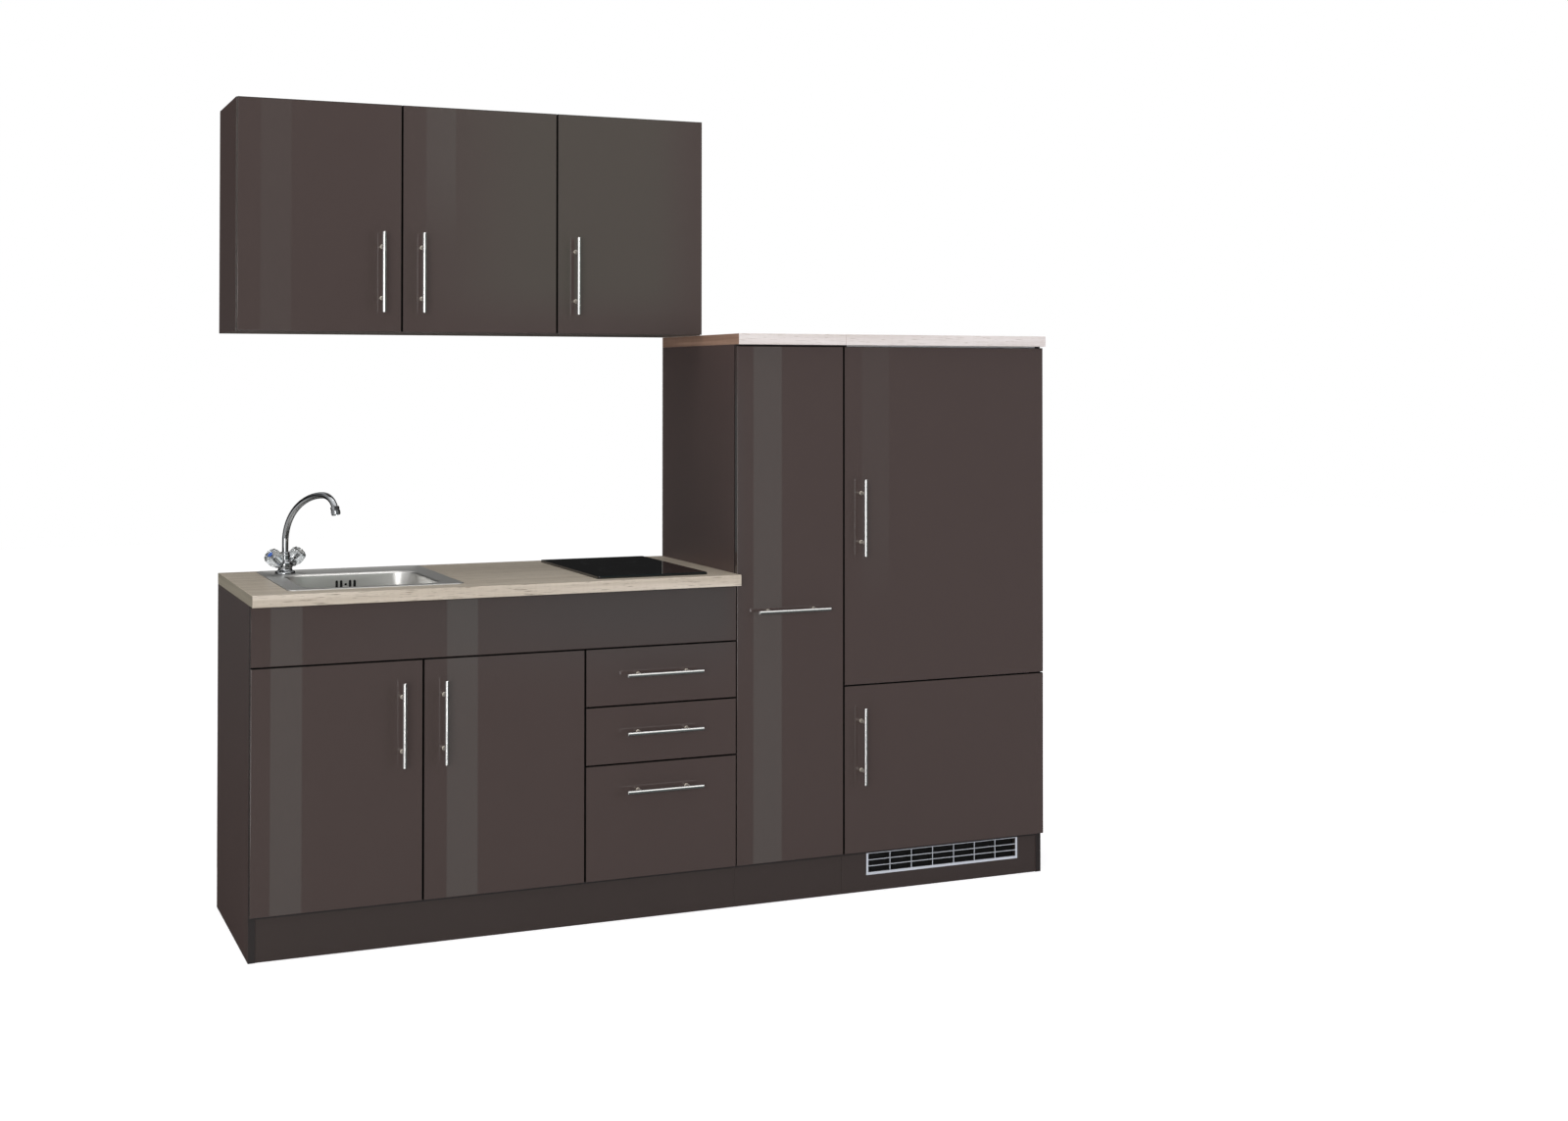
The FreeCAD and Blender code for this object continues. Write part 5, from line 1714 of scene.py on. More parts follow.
@dataclass
class Hob:
    """The glass hob with its printed zones and touch marks."""

    model: Model
    edge: float = 1.4 * MM
    shortest: float = 100 * MM
    seal_top: float = 0.95 * MM
    line: float = 1.2 * MM
    lift: float = 0.08 * MM
    zones: tuple[tuple[float, float], ...] = ((90 * MM, 0.29), (72.5 * MM, 0.72))
    pitch: float = 24 * MM
    touch_radius: float = 4.5 * MM
    arm: float = 2.2 * MM
    steps: int = 72

    def build(self) -> None:
        """Make the glass, its print and the tray below."""
        looks = (Finishes.hob_glass, Finishes.seal)
        self.model.refine("hob_glass", "ceramic", looks, self.glass_or_seal, self.edge, self.shortest)
        self.model.dress("hob_housing", Finishes.hob_tray)
        low, high = self.model.box("hob_glass")
        x, top = (low.x + high.x) / 2, high.z + self.lift
        touch = [Vector((x + step * self.pitch, low.y + self.pitch, top)) for step in (-2, -1, 1, 2)]
        bm = bmesh.new()
        for radius, share in self.zones:
            self.circle(bm, Vector((x, low.y + (high.y - low.y) * share, top)), radius)
        for middle in touch:
            self.circle(bm, middle, self.touch_radius)
        for middle in touch:
            self.bar(bm, middle, self.arm, self.line / 3)
            if middle.x > x:
                self.bar(bm, middle, self.line / 3, self.arm)
        bm.normal_update()
        for face in bm.faces:
            if face.normal.z < 0:
                face.normal_flip()
        piece("hob_zone_print", bm, Finishes.hob_print, ROOT, "hob_glass")

    def glass_or_seal(self, face: BMFace) -> int:
        """Choose glass above the seal's top and seal below."""
        return int(face.calc_center_median().z < self.model.box("hob_glass")[0].z + self.seal_top)

    def circle(self, bm: BMesh, centre: Vector, radius: float) -> None:
        """Add a thin flat ring to a bmesh.

        Args:
            bm: The bmesh.
            centre: The ring's middle.
            radius: Its outer radius.
        """
        bridge(bm, *(
            [bm.verts.new(centre + on_circle(r, FULL_TURN * i / self.steps)) for i in range(self.steps)]
            for r in (radius, radius - self.line)
        ))

    def bar(self, bm: BMesh, centre: Vector, half_x: float, half_y: float) -> None:
        """Add a small flat bar to a bmesh."""
        corners = ((-half_x, -half_y), (half_x, -half_y), (half_x, half_y), (-half_x, half_y))
        bm.faces.new([bm.verts.new(centre + Vector((x, y, 0))) for x, y in corners])


# What shows when the fronts are open


def around(at: Point, spans_mm: Sequence[Point]) -> list[tuple[float, float]]:
    """Return where a box starts and ends along each axis, from millimetres about a place."""
    return [(place + low * MM, place + high * MM) for place, (low, high) in zip(at, spans_mm)]


@dataclass
class Grille:
    """The moulded air grille in the plinth: a thin face lattice, vanes in black as painted shade, and a
    filter mat behind.
    """

    model: Model
    frame: float = 6 * MM
    foot: float = 7 * MM
    bar: float = 1.6 * MM
    face: float = 1.4 * MM
    edge: float = 0.6 * MM
    columns: int = 7
    rows: int = 3
    mat_gap: float = 0.5 * MM
    mat_thickness: float = 3 * MM
    mat_edge: float = 1 * MM

    def build(self) -> None:
        """Mould the frame, set the lattices in it and hang the mat."""
        x, (front, back), z = zip(*self.model.box("vent_grille"))
        depth = front + self.face
        self.x, self.z = (x[0] + self.frame, x[1] - self.frame), (z[0] + self.foot, z[1] - self.bar)
        bm = boxes(
            *((side, (front, depth), z, self.edge) for side in ((x[0], self.x[0]), (self.x[1], x[1]))),
            *((self.x, (front, depth), side, self.edge) for side in ((z[0], self.z[0]), (self.z[1], z[1]))),
        )
        self.model.stand_in("vent_grille", "frame", bm, Finishes.grille, even=True)
        rule = bars_rule()
        self.lattice(rule, "vent_face_bars", front, depth, Finishes.grille)
        # The vanes behind the face lattice are black: painted shade inside the grille
        self.lattice(rule, "vent_vanes", depth, back, Finishes.filter_mat)
        behind = max(back, self.model.box("plinth_boards")[1].y) + self.mat_gap
        mat = boxes((self.x, (behind, behind + self.mat_thickness), z, self.mat_edge))
        piece("vent_filter_mat", mat, Finishes.filter_mat, ROOT, "foot_plastic")

    def lattice(self, rule: Rule, name: str, front: float, back: float, finish: Finish) -> None:
        """Set a lattice of bars between two depths.

        Args:
            rule: The bars' tree.
            name: The piece's name.
            front: Where the bars start.
            back: Where they end.
            finish: Their finish.
        """
        (x0, x1), (z0, z1) = self.x, self.z
        column, row = (x1 - x0) / self.columns, (z1 - z0) / self.rows
        y, depth = (front + back) / 2, back - front
        parts = []
        for count, first, step, size in (
            (self.columns - 1, (x0 + column, y, (z0 + z1) / 2), (column, 0, 0), (self.bar, depth, z1 - z0)),
            (self.rows - 1, ((x0 + x1) / 2, y, z0 + row), (0, 0, row), (x1 - x0, depth, self.bar)),
        ):
            bars = bmesh.new()
            bars.from_mesh(rule.make(finish, Count=count, First=first, Step=step, Size=size))
            parts.append(bars)
        piece(name, joined(parts), finish, ROOT, "grille_plastic")


@dataclass
class Drawers:
    """The drawer boxes with their steel slide bars, rollers and front brackets."""

    model: Model
    screws: Rule
    slide_width: float = 8 * MM
    slide_height: float = 9 * MM
    side: float = 12 * MM
    base: float = 8 * MM
    edge: float = 0.8 * MM
    wheel: float = 8 * MM
    steel: float = 1.2 * MM
    bracket: float = 16 * MM
    bracket_rise: float = 60 * MM
    bracket_gap: float = 10 * MM
    screw: tuple[float, float] = (3.2 * MM, 1.2 * MM)
    screw_out: float = 0.5 * MM
    screws_up: tuple[float, float] = (14 * MM, 38 * MM)

    def build(self) -> None:
        """Make the three boxes."""
        for name in DRAWERS:
            self.box(f"{name}_box")

    def box(self, node: str) -> None:
        """Make one box: sides, back and base of board, and its metal parts.

        Args:
            node: The box.
        """
        (left, right), (front, back), (foot, top) = zip(*self.model.box(node))
        x0, x1 = left + self.slide_width, right - self.slide_width
        inner, rear = (x0 + self.side, x1 - self.side), back - self.side
        boards = boxes(
            ((x0, inner[0]), (front, back), (foot, top), self.edge),
            ((inner[1], x1), (front, back), (foot, top), self.edge),
            (inner, (rear, back), (foot, top - self.edge)),
            (inner, (front, rear), (foot, foot + self.base)),
        )
        self.model.stand_in(node, "boards", boards, Finishes.white_board, even=True)
        self.metal(node, (x0, x1), (front, back), (foot, top))

    def metal(self, node: str, x: Point, y: Point, z: Point) -> None:
        """Fit the slide bars, the rear rollers and the brackets that hold the front.

        Args:
            node: The box's node.
            x: The outsides of the box's side boards.
            y: The box's front and back.
            z: Its foot and top.
        """
        body, (front, back), (foot, top) = self.model.bodies[node], y, z
        rim = ((0, -3), (6.6, -3), (7.8, -2), (7.8, 2), (6.6, 3), (2.6, 3), (2.2, 3.8), (0, 3.8))
        rise = (foot + self.base, min(foot + self.bracket_rise, top - self.bracket_gap))
        steel, parts, spots = bmesh.new(), [], []
        for way, wall in zip((-1, 1), x):
            inside = wall - way * self.side
            add_box(steel, (wall, wall + way * self.slide_width), y, (foot, foot + self.steel))
            add_box(steel, (wall, wall + way * self.steel), y, (foot, foot + self.slide_height))
            add_box(steel, (inside, inside - way * self.bracket), (front, front + self.steel), rise)
            axle = Vector((wall + way * self.slide_width / 2, back - self.wheel, foot + self.wheel))
            parts.append(lathe(rim, facing(Vector((way, 0, 0)), axle), 24))
            spots += [
                Vector((inside - way * self.bracket / 2, front + self.steel + self.screw_out, rise[0] + up))
                for up in self.screws_up
            ]
        piece(f"{node}_slides", joined(parts + [steel]), Finishes.rail_paint, body, "runner_steel")
        set_screws(self.screws, node, spots, self.screw, body)


@dataclass
class Pantry:
    """The pull-out's frame and its trays with their chromed rails."""

    model: Model
    screws: Rule
    post: float = 20 * MM
    bar: float = 18 * MM
    edge: float = 2 * MM
    tray: float = 6 * MM
    trays: int = 4
    spacing: float = 305 * MM
    play: float = 0.05 * MM
    screw: tuple[float, float] = (4 * MM, 1.4 * MM)
    screw_count: int = 5
    bracket_mm: tuple[Point, ...] = ((-40, 40), (0, 20), (-10, 0))
    bracket_edge: float = 1 * MM

    def build(self) -> None:
        """Make the frame and the trays."""
        x, (front, back), z = zip(*self.model.box("pantry_frame"))
        (foot, top), inner = z, (front + self.post, back - self.post)
        bm = boxes(
            (x, (front, inner[0]), z, self.edge), (x, (inner[1], back), z, self.edge),
            (x, inner, (foot, foot + self.bar), self.edge), (x, inner, (top - self.bar, top), self.edge),
        )
        self.model.stand_in("pantry_frame", "pressed", bm, Finishes.frame_paint, even=True)
        looks = (Finishes.chrome, Finishes.white_board)
        self.model.refine("pantry_trays", "gallery", looks, self.rail_or_tray)
        self.fixings((x[0] + x[1]) / 2, inner[0], foot, top)

    def rail_or_tray(self, face: BMFace) -> int:
        """Choose board for a tray and chrome for what stands on it."""
        height = (face.calc_center_median().z - self.model.box("pantry_trays")[0].z) % self.spacing
        return int(height < self.tray + self.play or height > self.spacing - self.play)

    def fixings(self, middle: float, behind: float, foot: float, top: float) -> None:
        """Put screws down the front post, and a bracket under each tray.

        Args:
            middle: The frame's middle from left to right.
            behind: The back of its front post.
            foot: Its foot.
            top: Its top.
        """
        body = self.model.bodies["pantry_frame"]
        back, count = behind + self.screw[1] / 2, self.screw_count
        spots = [Vector((middle, back, foot + (top - foot) * (i + 1 / 2) / count)) for i in range(count)]
        set_screws(self.screws, "pantry_frame", spots, self.screw, body)
        low, high = self.model.box("pantry_trays")
        bm = boxes(*(
            (*around((middle, y, low.z + i * self.spacing), self.bracket_mm), self.bracket_edge)
            for i in range(self.trays)
            for y in (low.y, high.y - self.post)
        ))
        piece("pantry_tray_brackets", bm, Finishes.frame_paint, body, "frame_steel")


@dataclass
class Fridge:
    """The built-in fridge-freezer: liner, glass shelves, bins, doors, compressor and condenser."""

    model: Model
    wall: float = 35 * MM
    near: float = 0.5 * MM
    play: float = 0.5 * MM
    divider: float = 44 * MM
    setback: float = 95 * MM
    machine_top: float = 190 * MM
    machine_deep: float = 141 * MM
    ledge_rise: float = 9 * MM
    ledge_deep: float = 6 * MM
    fine: float = 1 * MM
    slim: float = 2 * MM
    soft: float = 3 * MM
    full: float = 4 * MM
    light_box_mm: tuple[Point, ...] = ((-95, 95), (60, 200), (-34, 0))
    light_box_edge: float = 8 * MM
    lens_mm: tuple[Point, ...] = ((-80, 20), (59, 64), (-28, -8))
    dial_mm: Point = (50, 60, -17)
    dial_ribs: tuple[float, ...] = (18, 0.3 * MM, 0.4, 0.8)
    glass: float = 5 * MM
    glass_inset: float = 6 * MM
    glass_edge: float = 0.8 * MM
    trim: float = 14 * MM
    trim_below: float = 4 * MM
    trim_above: float = 1 * MM
    shelf_shares: tuple[float, ...] = (0.46, 0.73)
    crisper: float = 150 * MM
    crisper_gap: float = 6 * MM
    bin_gap: float = 12 * MM
    step_top: float = 225 * MM
    step_back: float = 210 * MM
    bin_fill: float = 0.95
    bin_corner: float = 14 * MM
    bin_wall: float = 2.5 * MM
    bin_lip: float = 4 * MM
    bin_draft: float = 3 * MM
    grip_mm: tuple[Point, ...] = ((-110, 110), (-9, 4), (-26, 0))
    panel_inset: float = 36 * MM
    panel_span_mm: Point = (-4, 5)
    gasket: float = 6.7 * MM
    gasket_inset: float = 8 * MM
    gasket_width: float = 14 * MM
    gasket_corner: float = 16 * MM
    gasket_outline: Outline = (
        (0, 0), (0, 0.35), (0.18, 0.5), (0, 0.65), (0, 1), (1, 1), (1, 0.65), (0.82, 0.5), (1, 0.35), (1, 0),
    )
    rail: float = 14 * MM
    rail_deep: float = 52 * MM
    rail_foot: float = 40 * MM
    rail_top: float = 60 * MM
    rack_shares: tuple[float, ...] = (0.14, 0.58)
    rack_side: float = 70 * MM
    rack_gap: float = 5.5 * MM
    rack_depth: float = 85 * MM
    rack_height: float = 60 * MM
    rack_wall: float = 3 * MM
    rack_lip: float = 12 * MM
    rack_rail: float = 10 * MM
    slats: int = 9
    slat_half: float = 1.5 * MM
    feet_mm: Outline = ((-48, -48), (48, -48), (48, 48), (-48, 48))
    plate_mm: tuple[Point, ...] = ((-60, 60), (-60, 60), (10, 13))
    terminal_mm: tuple[Point, ...] = ((56, 68), (-18, 18), (50, 84))
    coil_gap: float = 5 * MM
    coil_foot: float = 260 * MM
    coil_top: float = 60 * MM
    coil_inset: float = 30 * MM
    wire: float = 1.6 * MM
    wires: int = 36
    runs: int = 14
    pipe_radius: float = 2.4 * MM
    pipe_start_mm: Point = (-40, 30, 20)
    pipe_next_mm: Point = (-80, 40, 40)
    pipe_bend_mm: Point = (30, -12, 50)

    def build(self) -> None:
        """Make the appliance."""
        self.low, self.high = self.model.box("fridge_cabinet")
        door_foot = self.model.box("fridge_inner_door")[0].z
        line = (door_foot + self.model.box("freezer_inner_door")[1].z) / 2
        self.chill = (line + self.divider / 2, self.high.z - self.wall)
        self.freeze = (self.low.z + self.wall, line - self.divider / 2)
        self.x0, self.x1 = self.low.x + self.wall, self.high.x - self.wall
        self.between = (self.x0 + self.play, self.x1 - self.play)
        self.front, self.back = self.low.y + self.setback, self.high.y - self.wall
        span = self.chill[1] - self.chill[0]
        self.shelf_heights = [self.chill[0] + span * share for share in self.shelf_shares]
        self.cabinet()
        self.fittings()
        self.shelves()
        self.bins()
        self.doors()
        self.machine()
        self.condenser()

    def cabinet(self) -> None:
        """Skin the outside in galvanised sheet and line the inside, without welding wall to wall."""
        bm = self.model.copy("fridge_cabinet")
        near, machine_top = self.near, self.low.z + self.machine_top + self.near
        for face in bm.faces:
            at = face.calc_center_median()
            at_side = any(at[i] < self.low[i] + near or at[i] > self.high[i] - near for i in (0, 2))
            over_machine = (
                at.y > self.back - self.machine_deep and at.z < machine_top and self.x0 < at.x < self.x1
            )
            outside = at_side or at.y > self.high.y - near or over_machine
            face.material_index = int(outside and at.y >= self.low.y + near)
        self.model.stand_in("fridge_cabinet", "skin", bm, (Finishes.liner, Finishes.outer_skin))

    def fittings(self) -> None:
        """Mould the shelf ledges and the light and dial box in the liner."""
        corner = ((self.x0 + self.x1) / 2, self.front, self.chill[1])
        bm = boxes(*(
            ((x, x + way * self.ledge_deep), (self.front, self.back), (z - self.ledge_rise, z), self.slim)
            for z in (height - self.play for height in self.shelf_heights)
            for x, way in ((self.x0, 1), (self.x1, -1))
        ))
        add_box(bm, *around(corner, self.light_box_mm), self.light_box_edge)
        piece("fridge_liner_fittings", bm, Finishes.liner, ROOT, "appliance_white", even=True)
        outline = ((0, 0), (14, 0), (14, 3), (11.9, 4), (11.48, 11), (10.5, 12.4), (0, 12.4))
        at = facing(Vector((0, -1, 0)), Vector(corner) + Vector(self.dial_mm) * MM)
        dial = lathe(outline, at, 32, ribbed(*self.dial_ribs))
        piece("fridge_dial", dial, Finishes.grey_plastic, ROOT, "appliance_white")
        lens = boxes((*around(corner, self.lens_mm), self.slim))
        piece("fridge_light_lens", lens, Finishes.frosted, ROOT, "appliance_white")

    def shelves(self) -> None:
        """Lay the glass shelves and the crisper's lid, each with a trim at the front and back."""
        panes, trims = bmesh.new(), bmesh.new()
        depth = (self.front + self.glass_inset, self.back - self.glass_inset)
        for z in [self.chill[0] + self.crisper] + self.shelf_heights:
            add_box(panes, self.between, depth, (z, z + self.glass), self.glass_edge)
            rise = (z - self.trim_below, z + self.glass + self.trim_above)
            for y in (self.front, self.back - self.trim):
                add_box(trims, self.between, (y, y + self.trim), rise, self.slim)
        replaced = ["fridge_shelves"]
        piece("fridge_glass_shelves", panes, Finishes.shelf_glass, ROOT, "shelf_glass", replaced, even=True)
        piece("fridge_shelf_trims", trims, Finishes.liner, ROOT, "appliance_white", even=True)

    def bins(self) -> None:
        """Set the crisper and the two freezer drawers in place, with their grips."""
        face, step = self.low.y + self.bin_gap, self.low.z + self.step_top
        top = step + (self.freeze[1] - step) * self.bin_fill
        step_back = self.high.y - self.step_back - self.bin_gap
        crisper = (self.chill[0], self.chill[0] + self.crisper - self.crisper_gap)
        for name, y, z, finish in (
            ("crisper_bin", (self.front, self.back), crisper, Finishes.clear_plastic),
            ("freezer_bin_low", (face, step_back), (self.freeze[0], step - self.bin_gap), Finishes.frosted),
            ("freezer_bin_high", (face, self.back), (step, top), Finishes.frosted),
        ):
            self.bin(name, y, z, finish)

    def bin(self, name: str, y: Point, z: Point, finish: Finish) -> None:
        """Mould one open bin with rounded corners, a rolled lip and a grip along its front.

        Args:
            name: The bin's name.
            y: Its front and back.
            z: Its foot and top.
            finish: Its finish.
        """
        wall, lip, draft, (foot, top) = self.bin_wall, self.bin_lip, self.bin_draft, z
        under_lip = top - 1.5 * lip
        bm = loft([
            rounded_ring((*self.between, *y), inset, self.bin_corner, height)
            for inset, height in (
                (2 * draft, foot), (draft, foot + draft), (lip, under_lip), (0.0, under_lip), (0.0, top),
                (wall + lip, top), (2 * draft + wall, foot + wall + draft), (3 * draft + wall, foot + wall),
            )
        ], closed=False)
        add_box(bm, *around((sum(self.between) / 2, y[0], top), self.grip_mm), self.soft)
        piece(name, bm, finish, ROOT, "shelf_glass", even=True)

    def doors(self) -> None:
        """Make both insulated doors with their gaskets, and the racks in the fridge's door."""
        face = self.model.box("freezer_inner_door")[1].y - self.gasket
        for node in ("fridge_inner_door", "freezer_inner_door"):
            x, y, z = zip(*self.model.box(node))
            inset = self.panel_inset
            across, up = ((low + inset, high - inset) for low, high in (x, z))
            depth = [face + out * MM for out in self.panel_span_mm]
            slab = boxes((x, (y[0], face), z, self.soft), (across, depth, up, self.full))
            self.model.stand_in(node, "liner", slab, Finishes.liner, even=True)
            rings = []
            for share, out in self.gasket_outline:
                inset = self.gasket_inset + self.gasket_width * share
                ring = rounded_ring((*x, *z), inset, self.gasket_corner - inset / 4, 0.0, 6)
                rings.append([Vector((p.x, face + self.gasket * out, p.y)) for p in ring])
            seal = loft(rings, closed=True)
            piece(f"{node}_gasket", seal, Finishes.rubber, self.model.bodies[node], "appliance_white")
        self.racks(face, self.model.bodies["fridge_inner_door"])

    def racks(self, face: float, body: str) -> None:
        """Hang two clear racks between the door liner's moulded side rails.

        Args:
            face: Where the door's slab ends.
            body: The door's body.
        """
        x0, x1 = self.low.x + self.rack_side, self.high.x - self.rack_side
        up = (self.chill[0] + self.rail_foot, self.chill[1] - self.rail_top)
        depth = (face, face + self.rail_deep)
        sides = ((x0 - self.rail, x0 - self.play), (x1 + self.play, x1 + self.rail))
        rails = boxes(*((x, depth, up, self.full) for x in sides))
        piece("fridge_door_side_rails", rails, Finishes.liner, body, "appliance_white", even=True)
        span = self.high.z - (self.chill[0] - self.divider / 2)
        wall, edge, y = self.rack_wall, self.fine, (face + self.rack_gap, face + self.rack_depth)
        front, inner = (y[1] - wall, y[1]), (x0 + wall, x1 - wall)
        clear = bmesh.new()
        for foot in (self.chill[0] + span * share for share in self.rack_shares):
            floor, top = foot + wall, foot + self.rack_height
            lip, rail = foot + self.rack_lip, top - self.rack_rail
            add_box(clear, (x0, x1), y, (foot, floor), edge)
            for x in ((x0, inner[0]), (inner[1], x1)):
                add_box(clear, x, y, (floor, top), edge)
            for z in ((floor, lip), (rail, top)):
                add_box(clear, inner, front, z, edge)
            for x in (x0 + (x1 - x0) * (i + 1) / (self.slats + 1) for i in range(self.slats)):
                add_box(clear, (x - self.slat_half, x + self.slat_half), front, (lip, rail))
        piece("fridge_door_racks", clear, Finishes.clear_plastic, body, "appliance_white", even=True)

    def machine(self) -> None:
        """Set the compressor on its feet."""
        outline = (
            (0, 8), (40, 8), (56, 14), (61, 26), (62, 44), (62, 58), (64.5, 60), (64.5, 63), (62, 65),
            (62, 84), (59, 100), (50, 112), (34, 118), (16, 120), (0, 120),
        )
        foot = ((0, 0), (12, 0), (12, 5), (9, 8), (9, 16), (0, 16))
        centre = self.model.middle("fridge_compressor")
        base = Vector((centre.x, centre.y, self.model.box("fridge_compressor")[0].z))
        at = Matrix.Translation(base)
        parts = [lathe(outline, at, 64)]
        parts += [lathe(foot, at @ Matrix.Translation((x * MM, y * MM, 0)), 20) for x, y in self.feet_mm]
        parts.append(boxes(
            (*around(base, self.plate_mm), self.fine),
            (*around(base, self.terminal_mm), self.slim),
        ))
        self.model.stand_in("fridge_compressor", "pot", joined(parts), Finishes.compressor)

    def condenser(self) -> None:
        """Run the condenser's tube back and forth behind the cabinet, its wires across, and its pipe."""
        y = self.high.y + self.coil_gap
        foot = self.model.box("fridge_compressor")[0].z + self.coil_foot
        top = self.high.z - self.coil_top
        left, right = self.low.x + self.coil_inset, self.high.x - self.coil_inset
        wires = bars_rule().make(
            Finishes.compressor, Count=self.wires, First=(left, y, (foot + top) / 2),
            Step=((right - left) / (self.wires - 1), 0, 0), Size=(self.wire, self.wire, top - foot),
        )
        piece("condenser_wires", wires, Finishes.compressor, ROOT, "compressor_black")
        ends = ((left, right), (right, left))
        path = [
            Vector((x, y - self.wire, foot + i * (top - foot) / self.runs))
            for i in range(self.runs + 1)
            for x in ends[i % 2]
        ]
        self.pipe("condenser_tube", path, Finishes.compressor)
        centre = self.model.middle("fridge_compressor")
        start, second = (centre + Vector(away) * MM for away in (self.pipe_start_mm, self.pipe_next_mm))
        bend = Vector((left, y, start.z)) + Vector(self.pipe_bend_mm) * MM
        down = Vector((left, y - self.wire, foot))
        self.pipe("compressor_pipe", (start, second, bend, down), Finishes.copper)

    def pipe(self, name: str, path: Sequence[Vector], finish: Finish) -> None:
        """Bend a pipe through points, as a bevelled curve turned to a mesh.

        Args:
            name: The piece's name.
            path: The points.
            finish: The pipe's finish.
        """
        curve = bpy.data.curves.new(name, "CURVE")
        curve.dimensions, curve.bevel_depth, curve.bevel_resolution = "3D", self.pipe_radius, 2
        curve.use_fill_caps = True
        line = curve.splines.new("NURBS")
        line.points.add(len(path) - 1)
        for spot, place in zip(line.points, path):
            spot.co = (*place, 1.0)
        line.order_u, line.use_endpoint_u, line.resolution_u = 3, True, 4
        holder = in_scene(name, curve)
        mesh = evaluated(holder)
        bpy.data.objects.remove(holder)
        piece(name, mesh, finish, ROOT, "compressor_black", (), 60.0)


# The studio


@dataclass(frozen=True)
class Strip:
    """A tall lit strip that the glossy fronts mirror as a pale line, and that fades at both ends."""

    x: float
    y: float
    width: float
    low: float
    high: float
    fade: float = 0.5
    foot_fade: float = 0.1
    glow: float = 0.5


@dataclass(frozen=True)
class Lamp:
    """A square soft lamp that faces a target, mirrored in gloss surfaces or not."""

    at: Point
    target: Point
    size: float
    watts: float
    tint: Point = (1.0, 1.0, 1.0)
    mirrored: bool = True


